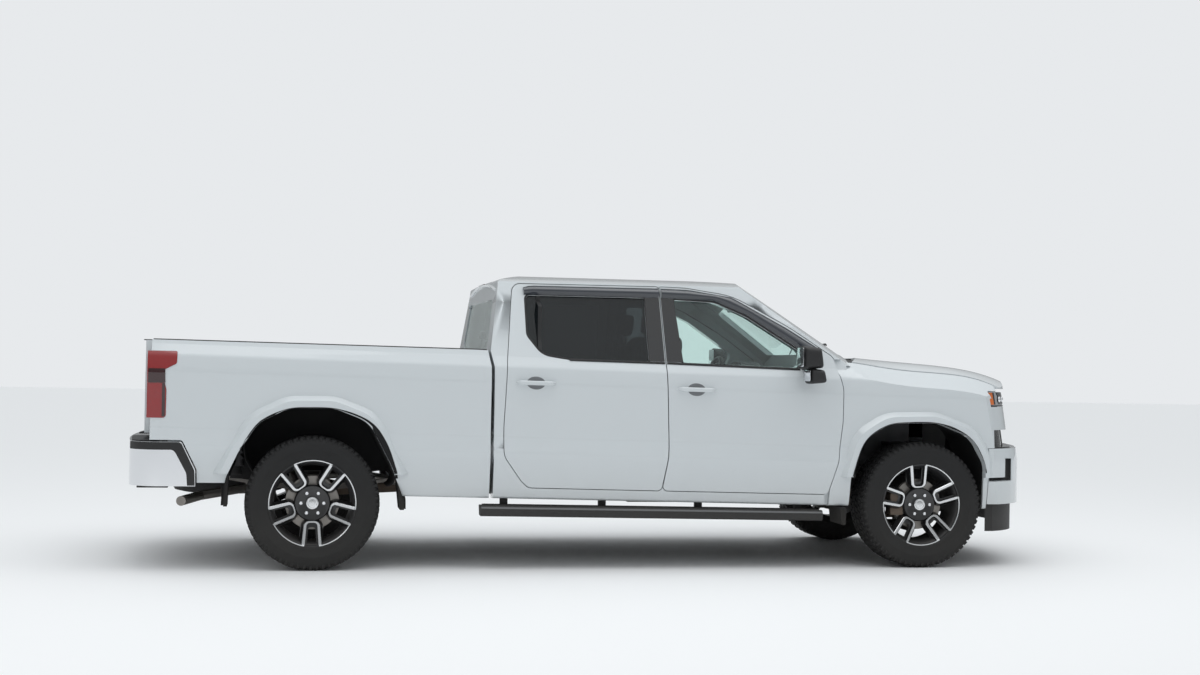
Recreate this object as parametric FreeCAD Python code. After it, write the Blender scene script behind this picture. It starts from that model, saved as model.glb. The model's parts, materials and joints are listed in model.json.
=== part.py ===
"""Crew cab pickup truck with a long load bed, in millimetres.

+X points forward, +Y to the left and +Z up. The origin lies on the ground below the centre of the
overall box. Left-hand pieces are modelled and mirrored for the right.
"""
import FreeCAD, Part
import math
import os

V = FreeCAD.Vector
ALONG_X = V(1, 0, 0)
ALONG_Y = V(0, 1, 0)
ALONG_Z = V(0, 0, 1)

# Overall size and stance
LENGTH = 6126.0
NOSE_X = LENGTH / 2
TAIL_X = -LENGTH / 2
FRONT_AXLE_X = 2083.0
REAR_AXLE_X = -1905.0
TRACK = 1742.0
RAKE = 0.0185

# Wheels
TYRE_RADIUS = 416.0
TYRE_WIDTH = 276.0
RIM_LIP_RADIUS = 272.0
RIM_WIDTH = 250.0
RIM_WALL = 9.0
SPOKES = 5
SPOKE_DISH = 34.0
POCKET_FLOOR = 32.0
# Opening between two spokes, and the blind pocket in each spoke: across, radius
WHEEL_WINDOW = ((-84, 232), (84, 232), (8, 120), (-8, 120))
SPOKE_POCKET = ((-43, 238), (43, 238), (36, 150), (28, 114), (-28, 114), (-36, 150))
DISC_RADIUS = 168.0
DISC_THICKNESS = 30.0
HUB_RADIUS = 78.0
SPINDLE_RADIUS = 28.0
SPINDLE_END = 40.0
KINGPIN_Y = 800.0

# Clearances
SHUT_GAP = 5.0
MOVING_GAP = 6.0
SEAT_GAP = 0.3

# Cab
CAB_BACK_X = -778.0
CAB_FRONT_X = 1532.0
CAB_BOTTOM = 432.0
ROOF_TOP = 1905.0
ROOF_CROWN_RADIUS = 4400.0
SIDE_WALL = 88.0
ROOF_WALL = 42.0
DOOR_SKIN = 26.0
DOOR_DEPTH = 82.0
DOOR_LAND = 40.0
GLASS = 5.0
GLASS_RECESS = 12.0
WINDSCREEN_LEAN = math.radians(32.1)
WINDSCREEN_RADIUS = 3000.0
WINDSCREEN_AT = (1752.0, 1400.0)

# Load bed
BED_FRONT_X = -804.0
BED_BACK_X = -2890.0
BED_FLOOR_Z = 885.0
BED_FLOOR_THICKNESS = 42.0
BED_RAIL_Z = 1388.0
BED_HALF_INSIDE = 907.0
RAIL_INNER_Y = 848.0
WHEELHOUSE_HALF_GAP = 643.0
TAILGATE_THICKNESS = 62.0
TAILGATE_BOTTOM = 835.0
TAILGATE_HALF = 778.0
GATE_GAP = 8.0
PIN_X = -2905.0
PIN_Z = 870.0
PIN_RADIUS = 9.0
PIN_REACH = 14.0

# Frame
RAIL_HALF_SPAN = 430.0
RAIL_WIDTH = 76.0
RAIL_WALL = 6.0

# Half section of the body side at X = 0: half width, height, corner radius
SIDE = (
    (900, 432, 0),
    (958, 436, 20),
    (972, 500, 30),
    (1003, 690, 60),
    (1006, 728, 20),
    (988, 826, 40),
    (990, 1000, 300),
    (996, 1172, 150),
    (984, 1270, 60),
    (946, 1338, 30),
    (697, 2005, 0),
)


def in_side_view(y):
    """Place (x, z) points on the plane at y."""
    return lambda u, v: V(u, y, v)


def in_end_view(x):
    """Place (y, z) points on the plane at x."""
    return lambda u, v: V(x, u, v)


def in_plan_view(z):
    """Place (x, y) points on the plane at z."""
    return lambda u, v: V(u, v, z)


def rounded(points, place):
    """Closed wire through (u, v, radius) corners, each corner an arc of its radius."""
    count = len(points)
    arcs = []
    for i in range(count):
        corner = V(points[i][0], points[i][1], 0)
        radius = points[i][2]
        if radius <= 0:
            arcs.append((corner, None, corner))
            continue
        to_last = (V(points[i - 1][0], points[i - 1][1], 0) - corner).normalize()
        to_next = (V(points[(i + 1) % count][0], points[(i + 1) % count][1], 0) - corner).normalize()
        half = to_last.getAngle(to_next) / 2
        reach = radius / math.tan(half)
        inward = (to_last + to_next).normalize()
        middle = corner + inward * (radius / math.sin(half) - radius)
        arcs.append((corner + to_last * reach, middle, corner + to_next * reach))
    edges = []
    for i in range(count):
        start, middle, end = arcs[i]
        if middle is not None:
            ends = [place(p.x, p.y) for p in (start, middle, end)]
            edges.append(Part.Arc(*ends).toShape())
        follow = arcs[(i + 1) % count][0]
        if (follow - end).Length > 0.001:
            edges.append(Part.makeLine(place(end.x, end.y), place(follow.x, follow.y)))
    return Part.Wire(edges)


def path(start, steps, place):
    """Closed wire: a step of two numbers is a line, a step of four is an arc by way of a point."""
    edges = []
    at = start
    for step in steps:
        end = step[-2:]
        if len(step) == 4:
            edges.append(Part.Arc(place(*at), place(*step[:2]), place(*end)).toShape())
        else:
            edges.append(Part.makeLine(place(*at), place(*end)))
        at = end
    if math.hypot(at[0] - start[0], at[1] - start[1]) > 0.001:
        edges.append(Part.makeLine(place(*at), place(*start)))
    return Part.Wire(edges)


def sharp(points, place):
    """Closed wire of straight lines through (u, v) points."""
    return Part.makePolygon([place(u, v) for u, v in points] + [place(*points[0])])


def solid(wire, along):
    """Solid swept straight from the face inside a wire."""
    return Part.Face(wire).extrude(along)


def block(low, high):
    """Box between two corners."""
    size = [high[i] - low[i] for i in range(3)]
    return Part.makeBox(size[0], size[1], size[2], V(*low))


def rod(start, end, radius):
    """Round bar between two points."""
    start = V(*start)
    end = V(*end)
    return Part.makeCylinder(radius, (end - start).Length, start, end - start)


def joined(shapes):
    """One shape fused from a list."""
    shapes = list(shapes)
    if len(shapes) == 1:
        return shapes[0]
    return shapes[0].fuse(shapes[1:]).removeSplitter()


def mirrored(shape):
    """Right-hand twin of a left-hand shape."""
    return shape.mirror(V(0, 0, 0), ALONG_Y)


def both_sides(shape):
    """A left-hand shape with its right-hand twin, as separate solids."""
    return Part.makeCompound(shape.Solids + mirrored(shape).Solids)


def save(name, shape):
    """Write one node."""
    for piece in shape.Solids:
        if not piece.isValid():
            print("invalid solid in", name)
    whole = Part.makeCompound(shape.Solids)
    whole.exportStep("parts/" + name + ".step")
    box = whole.BoundBox
    print(name, len(whole.Solids), round(whole.Volume / 1e6, 2),
          [round(v) for v in (box.XMin, box.XMax, box.YMin, box.YMax, box.ZMin, box.ZMax)])


# Envelopes of the body

def side_sweep(inset, x_low, x_high):
    """The raked body side section swept from x_low to x_high, moved inwards by inset."""
    half = [(y - inset, z, r) for y, z, r in SIDE]
    ring = [(-y, z, r) for y, z, r in reversed(half)] + half
    lift = -RAKE * x_low
    wire = rounded([(y, z + lift, r) for y, z, r in ring], in_end_view(x_low))
    span = x_high - x_low
    return solid(wire, V(span, 0, -RAKE * span))


def roof_drum(inset):
    """Everything below the crowned roof line, lowered by inset."""
    radius = ROOF_CROWN_RADIUS - inset
    return Part.makeCylinder(radius, 4000, V(-1500, 0, ROOF_TOP - ROOF_CROWN_RADIUS), ALONG_X)


def cab_profile(inset):
    """Side view of the cab from its back wall over the roof to the screen header."""
    back = CAB_BACK_X + inset
    steps = [
        (back - 6, 1281),
        (back - 28, 1385),
        (back + 26, 1790),
        (back + 30, 1835 - inset),
        (back + 60, 1856 - inset),
        (back + 230, 1895 - inset, 0, ROOF_TOP + 1 - inset),
        (508, ROOF_TOP - 1 - inset, 1010, 1868 - inset),
        (1300, 1800 - inset),
        (2400, 1800),
        (2400, 100),
    ]
    return solid(path((back, 100), steps, in_side_view(-1200)), V(0, 2400, 0))


def screen_drum(inset):
    """Everything behind the curved windscreen surface, moved inwards by inset."""
    radius = WINDSCREEN_RADIUS - inset
    lean = V(math.cos(WINDSCREEN_LEAN), 0, -math.sin(WINDSCREEN_LEAN))
    out = V(math.sin(WINDSCREEN_LEAN), 0, math.cos(WINDSCREEN_LEAN))
    foot = V(WINDSCREEN_AT[0], 0, WINDSCREEN_AT[1])
    base = foot - out * WINDSCREEN_RADIUS - lean * 3000
    return Part.makeCylinder(radius, 6000, base, lean)


def cab_envelope(inset, roof_inset, x_low=-1000.0, x_high=2000.0):
    """Solid of the whole cab, moved inwards by inset at the sides and roof_inset elsewhere."""
    shape = side_sweep(inset, x_low, x_high)
    shape = shape.common(roof_drum(roof_inset))
    shape = shape.common(cab_profile(roof_inset))
    return shape.common(screen_drum(roof_inset))


# Doors: corner x, corner z, radius, in side view
REAR_DOOR = (
    (-553, 519, 60),
    (-600, 560, 60),
    (-716, 720, 120),
    (-718, 900, 200),
    (-700, 1310, 200),
    (-654, 1822, 55),
    (318, 1826, 20),
    (332, 1319, 900),
    (355, 760, 900),
    (312, 503, 30),
)
FRONT_DOOR = (
    (320, 503, 30),
    (361, 760, 900),
    (338, 1319, 900),
    (324, 1826, 10),
    (500, 1822, 300),
    (815, 1778, 500),
    (1190, 1578, 1500),
    (1476, 1385, 60),
    (1528, 1180, 200),
    (1528, 960, 300),
    (1498, 700, 300),
    (1436, 484, 30),
)
REAR_WINDOW = (
    (-568, 1747, 25),
    (-562, 1490, 60),
    (-470, 1372, 120),
    (-300, 1345, 150),
    (222, 1335, 12),
    (215, 1749, 12),
)
FRONT_WINDOW = (
    (452, 1331, 12),
    (415, 1741, 12),
    (690, 1730, 200),
    (900, 1640, 300),
    (1262, 1408, 60),
    (1235, 1311, 40),
)


def door_column(outline, grow, depth=1000.0):
    """Left-hand prism through a door outline, grown by the given amount."""
    wire = rounded(outline, in_side_view(300))
    if abs(grow) > 0.001:
        wire = wire.makeOffset2D(grow, 2)
    return solid(wire, V(0, depth, 0))


def door_panel(outline, window, shell):
    """Left-hand door: a full outline skin with a stepped inner box behind it."""
    skin = door_column(outline, 0).common(shell["outer"]).cut(shell["skin"])
    inner = door_column(outline, -DOOR_LAND).common(shell["skin"]).cut(shell["lining"])
    return joined([skin, inner]).cut(door_column(window, 0))


def door_glass(window, shell):
    """Left-hand window glass, let into its door."""
    return door_column(window, -SEAT_GAP).common(shell["glass_out"]).cut(shell["glass_in"])


# Cab openings. Windscreen in plan: x, y, radius. Back window in end view: y, z, radius.
WINDSCREEN_OPENING = (
    (1085, -590, 60),
    (1640, -735, 70),
    (1800, 0, 2200),
    (1640, 735, 70),
    (1085, 590, 60),
)
BACK_OPENING = (
    (-640, 1722, 50),
    (-720, 1392, 60),
    (720, 1392, 60),
    (640, 1722, 50),
)
# Latch and hinge pads behind the doors' edges: x, z
DOOR_PADS = ((-695, 1000), (328, 1000), (376, 940), (1508, 1000))
# Rubber mounts between the cab and the frame rails: x
CAB_MOUNTS = (-600, 250, 1330)
CAB_FLOOR_Z = 640.0
CAB_UNDERSIDE_Z = 596.0
SILL_INNER_Y = 868.0
SILL_WEB = 18.0
SILL_WEB_FRONT_X = 1490.0
TUNNEL_HALF_WIDTH = 215.0
TUNNEL_TOP = 745.0
TUNNEL_BACK_X = 440.0
SCUTTLE_Z = 1330.0
FIREWALL = 40.0
CAB_MOUNT_RADIUS = 32.0
CAB_MOUNT_SINK = 30.0
# Cells that part the cab shell into simple solids: x from, x to, z from, z to
CAB_CELLS = (
    (-1300, 3000, 0, 770),
    (-1300, -560, 770, 1700),
    (-1300, 3000, 1700, 2300),
    (-560, 880, 770, 1700),
    (880, 3000, 770, 1700),
)


def cab_pieces(shell):
    """Cab shell with its openings, and the two fixed panes."""
    front = CAB_FRONT_X + FIREWALL
    body = shell["outer"]
    body = body.cut(block((front, -1300, 0), (3000, 1300, SCUTTLE_Z)))
    inside = block((-1200, -1300, CAB_FLOOR_Z), (CAB_FRONT_X, 1300, 2200))
    body = body.cut(shell["hollow"].common(inside))
    web_y = SILL_INNER_Y - SILL_WEB
    for x_low, half in ((-1200, web_y), (SILL_WEB_FRONT_X, SILL_INNER_Y)):
        body = body.cut(block((x_low, -half, 0), (3000, half, CAB_UNDERSIDE_Z)))
    tunnel = block((TUNNEL_BACK_X, -TUNNEL_HALF_WIDTH, CAB_UNDERSIDE_Z - 1),
                   (front, TUNNEL_HALF_WIDTH, TUNNEL_TOP))
    hump = block((TUNNEL_BACK_X - 20, -TUNNEL_HALF_WIDTH - 20, CAB_FLOOR_Z - 2),
                 (CAB_FRONT_X + 1, TUNNEL_HALF_WIDTH + 20, TUNNEL_TOP + 20))
    body = body.fuse(hump).cut(tunnel)
    fender_seat = shell["outer"].cut(shell["fender_back"])
    fender_seat = fender_seat.common(block((1415, -1300, 0), (1800, 1300, SCUTTLE_Z + 42)))
    top_seat = hood_loft(-1).cut(hood_loft(FENDER_SKIN + 4)).common(block((1466, 856, 1100), (1800, 1300, 1500)))
    body = body.cut(fender_seat).cut(top_seat).cut(mirrored(top_seat)).cut(hood_plan(MOVING_GAP))
    for outline in (REAR_DOOR, FRONT_DOOR):
        step = door_column(outline, SHUT_GAP).cut(shell["rebate"])
        opening = step.fuse(door_column(outline, MOVING_GAP - DOOR_LAND))
        opening = opening.cut(block((-1200, 0, 0), (3000, SILL_INNER_Y, CAB_FLOOR_Z)))
        body = body.cut(opening).cut(mirrored(opening))
    land = cab_envelope(DOOR_SKIN + SEAT_GAP, 0).cut(shell["rebate"])
    pads = [block((x - 9, 850, z - 30), (x + 9, 1100, z + 30)).common(land) for x, z in DOOR_PADS]
    mount_low, mount_high = RAIL_MID_TOP + SEAT_GAP, CAB_UNDERSIDE_Z + CAB_MOUNT_SINK
    pads += [rod((x, RAIL_HALF_SPAN, mount_low), (x, RAIL_HALF_SPAN, mount_high), CAB_MOUNT_RADIUS)
             for x in CAB_MOUNTS]
    body = body.fuse(pads + [mirrored(pad) for pad in pads])
    screen = solid(rounded(WINDSCREEN_OPENING, in_plan_view(1405)), V(0, 0, 600))
    back = solid(rounded(BACK_OPENING, in_end_view(-1100)), V(600, 0, 0))
    body = body.cut(screen).cut(back)
    cells = [block((x0, -1300, z0), (x1, 1300, z1)) for x0, x1, z0, z1 in CAB_CELLS]
    parted = [piece for cell in cells for piece in body.common(cell).Solids]
    pane_out = shell["pane_out"]
    band = pane_out.cut(shell["pane_in"])
    return Part.makeCompound(parted), Part.makeCompound(band.common(screen).Solids + band.common(back).Solids)


# Front end. Hood crown at x: height, then how far it falls at the hood's side edge.
HOOD = (
    (1450, 1410, 56),
    (1900, 1378, 56),
    (2350, 1347, 58),
    (2640, 1309, 88),
    (2810, 1262, 140),
    (3000, 1160, 230),
)
HOOD_HALF_WIDTH = 850.0
HOOD_THICKNESS = 26.0
HOOD_LIP_Z = 1192.0
HOOD_BACK_X = 1845.0
HOOD_BACK_RADIUS = 1700.0
FENDER_SKIN = 22.0
NOSE_LEAN = 0.16
NOSE_LEAN_FROM = 714.0
HEADLAMP_TOP = 1172.0
HEADLAMP_BOTTOM = 1074.0
HEADLAMP_INNER_Y = 600.0
SUPPORT_HALF = 590.0
BUMPER_TOP = 793.0
CORNER_LOW = 915.0
BUMPER_LOW = 420.0
FENDER_FRONT_X = 2600.0

# Wheel arches in side view: x, z, radius
FRONT_ARCH = (
    (1584, 250, 0),
    (1590, 600, 200),
    (1668, 848, 200),
    (1842, 955, 220),
    (2172, 962, 260),
    (2422, 868, 200),
    (2516, 690, 200),
    (2532, 250, 0),
)
FRONT_LINER = (
    (1582, 250, 0),
    (1582, 600, 200),
    (1640, 880, 200),
    (1830, 1000, 220),
    (2185, 1008, 260),
    (2440, 905, 200),
    (2540, 690, 200),
    (2540, 250, 0),
)
REAR_ARCH = (
    (-2452, 250, 0),
    (-2440, 560, 200),
    (-2362, 730, 200),
    (-2242, 915, 200),
    (-2055, 1008, 220),
    (-1790, 1010, 240),
    (-1568, 925, 200),
    (-1425, 650, 300),
    (-1340, 440, 60),
    (-1336, 250, 0),
)
FLARE_Y = 1030.0
FLARE_ROOT_Y = 982.0
FLARE_ROOT = 82.0
FLARE_CREST = 44.0
FLARE_LOW = 600.0


def hood_loft(inset):
    """Everything below the hood and fender tops, lowered by inset."""
    wires = []
    for x, crown, drop in HOOD:
        z = crown - inset
        steps = [
            (1100, 200),
            (1100, z - drop - 200),
            (HOOD_HALF_WIDTH, z - drop),
            (690, z - 0.36 * drop, 480, z),
            (0, z + 3, -480, z),
            (-690, z - 0.36 * drop, -HOOD_HALF_WIDTH, z - drop),
            (-1100, z - drop - 200),
        ]
        wires.append(path((-1100, 200), steps, in_end_view(x)))
    return Part.makeLoft(wires, True, False)


def nose_column(inset, z_low, z_high):
    """Everything behind the curved nose, moved inwards by inset; it leans back above the bumper."""
    pieces = []
    middle = min(max(NOSE_LEAN_FROM, z_low), z_high)
    for low, high, lean in ((z_low, middle, 0.0), (middle, z_high, NOSE_LEAN)):
        if high - low < 1:
            continue
        back = lean * (low - NOSE_LEAN_FROM)
        steps = [
            (2400, -1120),
            (2640 - back, -968),
            (2805 - back, -848, 2915 - back, -637),
            (NOSE_X - back, 0, 2915 - back, 637),
            (2805 - back, 848, 2640 - back, 968),
            (2400, 1120),
            (1000, 1120),
        ]
        wire = path((1000, -1120), steps, in_plan_view(low))
        if inset:
            wire = wire.makeOffset2D(-inset)
        pieces.append(solid(wire, V(-lean * (high - low), 0, high - low)))
    return joined(pieces)


def front_envelope(side, top, nose, z_low=NOSE_LEAN_FROM, z_high=1450.0):
    """Solid of the front end, moved inwards by side, top and nose."""
    shape = nose_column(nose, z_low, z_high).common(side_sweep(side, 1400, 3200))
    return shape.common(hood_loft(top))


def hood_plan(grow):
    """Prism over the hood's outline in plan, grown by the given amount."""
    half = HOOD_HALF_WIDTH + grow
    back = HOOD_BACK_X - grow
    side_back = back - half ** 2 / (2 * HOOD_BACK_RADIUS)
    steps = [(back, 0, side_back, half), (3200, half), (3200, -half)]
    return solid(path((side_back, -half), steps, in_plan_view(HOOD_LIP_Z - grow)), V(0, 0, 400))


def arch_column(outline, grow, y_low, y_high):
    """Left-hand prism through a wheel-arch outline, grown by the given amount."""
    wire = rounded(outline, in_side_view(y_low))
    if grow:
        wire = wire.makeOffset2D(grow)
    return solid(wire, V(0, y_high - y_low, 0))


def flare(outline):
    """Left-hand raised band round a wheel arch."""
    root = rounded(outline, in_side_view(FLARE_ROOT_Y)).makeOffset2D(FLARE_ROOT)
    crest = rounded(outline, in_side_view(FLARE_Y)).makeOffset2D(FLARE_CREST)
    band = Part.makeLoft([root, crest], True, True)
    low = block((outline[0][0] - 200, 900, 100), (outline[-1][0] + 200, 1100, FLARE_LOW))
    return band.cut(low).cut(arch_column(outline, 0, 900, 1100))


def front_fender(doors):
    """Left-hand front fender with its flare."""
    skin = side_sweep(0, 1400, 3200).cut(side_sweep(FENDER_SKIN, 1300, 3300))
    skin = skin.common(block((1400, 0, 0), (FENDER_FRONT_X, 1300, 1500)))
    skin = skin.common(hood_loft(0))
    top = hood_loft(0).cut(hood_loft(FENDER_SKIN)).common(side_sweep(0, 1400, 3200))
    top = top.common(block((1470, 860, 1100), (FENDER_FRONT_X + 40, 1300, 1500)))
    shape = joined([skin.common(block((0, 0, 0), (3200, 1300, 1500))), top])
    shape = shape.fuse(flare(FRONT_ARCH))
    shape = shape.cut(arch_column(FRONT_ARCH, 0, 0, 1300))
    shape = shape.cut(door_column(doors, SHUT_GAP, 1300))
    shape = shape.cut(hood_plan(SHUT_GAP))
    shape = shape.cut(headlamp_column(3.0))
    shape = shape.cut(block((2553, 0, 0), (3200, 1300, BUMPER_TOP + 3)))
    return shape.common(nose_column(0, 0, 1500))


def headlamp_column(grow):
    """Left-hand prism through the headlamp in side view."""
    corners = (
        (2556, HEADLAMP_TOP + 4, 8),
        (2622, HEADLAMP_BOTTOM, 20),
        (3000, HEADLAMP_BOTTOM, 0),
        (3000, HEADLAMP_TOP - 8, 0),
    )
    wire = rounded(corners, in_side_view(HEADLAMP_INNER_Y - grow))
    if grow:
        wire = wire.makeOffset2D(grow)
    return solid(wire, V(0, 600, 0))


def headlamp():
    """Left-hand headlamp block."""
    shape = headlamp_column(0).common(front_envelope(3, 30, 52)).cut(nose_column(190, 700, 1500))
    return joined([shape, block((2650, SUPPORT_HALF + SEAT_GAP, 1104), (2720, 612, 1144))])


def front_bumper():
    """Bumper shell, and the two body-colour corners above it, as separate solids."""
    shell = nose_column(0, BUMPER_LOW, BUMPER_TOP).cut(nose_column(70, 300, BUMPER_TOP + 50))
    shell = shell.common(side_sweep(-4, 2400, 3200)).cut(block((0, -1300, 0), (2556, 1300, 900)))
    shell = shell.cut(arch_both(FRONT_ARCH, 0.5))
    intake = block((2600, -420, 560), (3200, 420, 690))
    slot = nose_column(-5, 578, 728).cut(nose_column(24, 500, 800))
    slot = slot.common(block((2700, 872, 0), (3200, 1300, 900)))
    foot = nose_column(-5, 573, 600).cut(nose_column(24, 500, 800))
    foot = foot.common(block((2556, 880, 0), (3200, 1300, 900)))
    shell = shell.cut([intake, slot, mirrored(slot), foot, mirrored(foot)])
    arm = block((RAIL_LINE[0][0] + SEAT_GAP, 426, 510), (2975, 466, 625)).common(nose_column(20, 400, 700))
    shell = joined([shell, arm, mirrored(arm)])
    corner = nose_column(50, NOSE_LEAN_FROM, 1200).cut(nose_column(110, NOSE_LEAN_FROM, 1200))
    corner = corner.common(side_sweep(0, 2400, 3200))
    corner = corner.common(block((FENDER_FRONT_X + 3, 610, CORNER_LOW), (3200, 1300, HEADLAMP_BOTTOM - 3)))
    corner = corner.cut(headlamp_column(3.0))
    return Part.makeCompound(shell.Solids + corner.Solids + mirrored(corner).Solids)


def arch_both(outline, grow):
    """Both sides' prisms through a wheel arch, as one shape."""
    left = arch_column(outline, grow, 700, 1200)
    return left.fuse(mirrored(left))


def air_dam():
    """Black lower valance under the bumper."""
    shell = nose_column(45, 236, BUMPER_LOW - SEAT_GAP).cut(nose_column(75, 200, 500))
    shell = shell.cut(block((0, -1300, 0), (2560, 1300, 900)))
    shell = shell.common(block((0, -930, 0), (3200, 930, 900)))
    top = nose_column(46, BUMPER_LOW - 16, BUMPER_LOW - SEAT_GAP).cut(nose_column(180, 300, 500))
    top = top.cut(block((0, -1300, 0), (2560, 1300, 900))).common(block((0, -930, 0), (3200, 930, 900)))
    return joined([shell, top]).cut(arch_both(FRONT_ARCH, 8.0))


def grille():
    """Grille frame with its bars, and the dark duct band below it."""
    window = block((2000, -520, 845), (3300, 520, 1150))
    frame = nose_column(78, 796, 1180).cut(nose_column(112, 700, 1250))
    frame = frame.common(block((2500, -597, 0), (3300, 597, 1300))).cut(window)
    pieces = [frame]
    ring = nose_column(84, 800, 1180).cut(nose_column(106, 700, 1250))
    for level in range(GRILLE_BARS):
        z = 845 + (level + 0.5) * 305.0 / GRILLE_BARS
        pieces.append(ring.common(block((2500, -522, z - 11), (3300, 522, z + 11))))
    for side in (-1, 0, 1):
        y = side * 260.0
        pieces.append(ring.common(block((2500, y - 9, 843), (3300, y + 9, 1152))))
    whole = joined(pieces)
    duct = nose_column(96, 796, CORNER_LOW - SEAT_GAP).cut(nose_column(130, 700, 950))
    duct = duct.common(block((2612, 596, 0), (3300, 960, 1300)))
    flange = nose_column(34, BUMPER_TOP + SEAT_GAP, BUMPER_TOP + 7).cut(nose_column(112, 700, 950))
    flange = flange.common(block((2612, -960, 0), (3300, 960, 1300)))
    return joined([whole, duct, mirrored(duct), flange])


GRILLE_BARS = 5


def cowl():
    """Black cowl panel behind the hood with two wiper arms on it."""
    plan = hood_plan(SHUT_GAP + 1)
    top = hood_loft(16).cut(hood_loft(30)).common(block((1576, -842, 1200), (2000, 842, 1500)))
    return top.cut(plan).cut(screen_drum(-0.5))


def hood():
    """Hood panel with its frame of ribs below."""
    outer = front_envelope(0, 0, 34)
    inner = front_envelope(0, HOOD_THICKNESS, 34 + HOOD_THICKNESS)
    plan = hood_plan(0)
    panel = outer.cut(inner).common(plan)
    return panel


# Load bed

def bed_rail_wedge():
    """Everything below the bed's top rail."""
    slope = -0.0121
    front_z = BED_RAIL_Z
    back_z = BED_RAIL_Z - slope * (BED_FRONT_X - BED_BACK_X)
    corners = (
        (BED_BACK_X, 100),
        (BED_FRONT_X, 100),
        (BED_FRONT_X, 1281),
        (BED_FRONT_X - 20, front_z),
        (BED_BACK_X, back_z),
    )
    return solid(sharp(corners, in_side_view(-1200)), V(0, 2400, 0))


def tail_lamp_column(grow):
    """Left-hand prism through the tail lamp in side view."""
    corners = (
        (-2736, 1344, 10),
        (-2738, 1268, 20),
        (-2826, 1222, 30),
        (-2797, 1108, 60),
        (-2798, 936, 20),
        (-2990, 936, 0),
        (-2990, 1344, 0),
    )
    wire = rounded(corners, in_side_view(TAILGATE_HALF + 12 - grow))
    if grow:
        wire = wire.makeOffset2D(grow)
    return solid(wire, V(0, 400, 0))


def bed_side():
    """Left-hand bed side: outer panel, inner wall, rail, wheelhouse and rear post."""
    x0 = BED_BACK_X
    x1 = BED_FRONT_X
    outer = side_sweep(0, x0, x1).common(bed_rail_wedge())
    outer = outer.common(block((x0, 0, 0), (x1, 1300, 1500)))
    wall = outer.common(block((x0, BED_HALF_INSIDE, BED_FLOOR_Z - 60), (x1, 1300, 1500)))
    skirt = outer.cut(side_sweep(26, x0 - 100, x1 + 100))
    skirt = skirt.common(block((x0, BED_HALF_INSIDE, 0), (x1, 1300, BED_FLOOR_Z)))
    rail = outer.common(block((x0, RAIL_INNER_Y, 1340), (x1, 1300, 1500)))
    inner = TAILGATE_HALF + GATE_GAP
    post = outer.common(block((x0, inner, 540), (x0 + 30, 1300, 1500)))
    lug = block((PIN_X - 18, inner, PIN_Z - 18), (x0 + 1, inner + PIN_REACH, PIN_Z + 18))
    bore = rod((PIN_X, inner - 1, PIN_Z), (PIN_X, inner + PIN_REACH + 1, PIN_Z), PIN_RADIUS + SEAT_GAP)
    shape = joined([wall, skirt, rail, post, lug]).cut(bore)
    lift = block((x0 - 10, 800, 0), (-2440, 1300, 540))
    shape = shape.cut(lift).cut(bumper_notch(8.0))
    house_out = arch_column(WHEELHOUSE, 0, WHEELHOUSE_HALF_GAP, BED_HALF_INSIDE + 30)
    house_in = arch_column(WHEELHOUSE, -8, WHEELHOUSE_HALF_GAP + 8, BED_HALF_INSIDE + 1)
    house = house_out.cut(house_in).cut(block((-3200, 0, 0), (0, 1300, BED_FLOOR_Z - 40)))
    shape = joined([shape, house, flare(REAR_ARCH)])
    shape = shape.cut(arch_column(REAR_ARCH, 0, BED_HALF_INSIDE - 0.5, 1300))
    shape = shape.cut(arch_column(WHEELHOUSE, -8, WHEELHOUSE_HALF_GAP + 8, BED_HALF_INSIDE + 1))
    return shape.cut(tail_lamp_column(SEAT_GAP))


def bumper_notch(grow):
    """Both sides' prism through the rear bumper's end in side view."""
    corners = ((-3100, 794, 0), (-2702, 794, 20), (-2616, 621, 30), (-2608, 300, 0), (-3100, 300, 0))
    wire = rounded(corners, in_side_view(-1200)).makeOffset2D(grow) if grow else rounded(corners, in_side_view(-1200))
    return solid(wire, V(0, 2400, 0))


WHEELHOUSE = (
    (-2330, 780, 0),
    (-2330, 960, 90),
    (-2210, 1085, 120),
    (-1600, 1085, 120),
    (-1480, 960, 90),
    (-1480, 780, 0),
)


def tail_lamp():
    """Left-hand tail lamp block."""
    back = BED_BACK_X - 22
    bulk = side_sweep(-3, back, -2700).common(tail_lamp_column(0))
    inner = block((BED_BACK_X + 52, 0, 0), (-2700, 960, 1500))
    return bulk.cut(inner)


def bed_floor():
    """Ribbed load floor with notches for the wheelhouses."""
    x0 = BED_BACK_X + 32
    x1 = BED_FRONT_X - 64
    low = BED_FLOOR_Z - BED_FLOOR_THICKNESS
    shape = block((x0, -BED_HALF_INSIDE + 0.5, low), (x1, BED_HALF_INSIDE - 0.5, BED_FLOOR_Z))
    for side in (-1, 1):
        y = side * (WHEELHOUSE_HALF_GAP + 200)
        notch = block((-2331, min(y - 201, y + 201), 0), (-1479, max(y - 201, y + 201), 1500))
        shape = shape.cut(notch)
    for groove in range(FLOOR_GROOVES):
        y = (groove - (FLOOR_GROOVES - 1) / 2) * 128.0
        shape = shape.cut(block((x0 + 30, y - 26, BED_FLOOR_Z - 12), (x1 - 30, y + 26, BED_FLOOR_Z + 1)))
    for x, half, bottom in BED_SILLS:
        shape = shape.fuse(block((x - 40, -half, bottom + SEAT_GAP), (x + 40, half, low)))
    for y in (-RAIL_HALF_SPAN, RAIL_HALF_SPAN):
        x = BED_SILLS[0][0]
        shape = shape.fuse(block((x - 35, y - 34, RAIL_MID_TOP + SEAT_GAP), (x + 35, y + 34, low)))
    return shape.removeSplitter()


# Sills below the load floor: x, half length, underside
BED_SILLS = (
    (-1060, 880, 790),
    (-1650, 640, 787),
    (-2150, 640, 790),
    (-2750, 880, 770.2),
)
RAIL_MID_TOP = 588.0
FLOOR_GROOVES = 9


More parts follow.
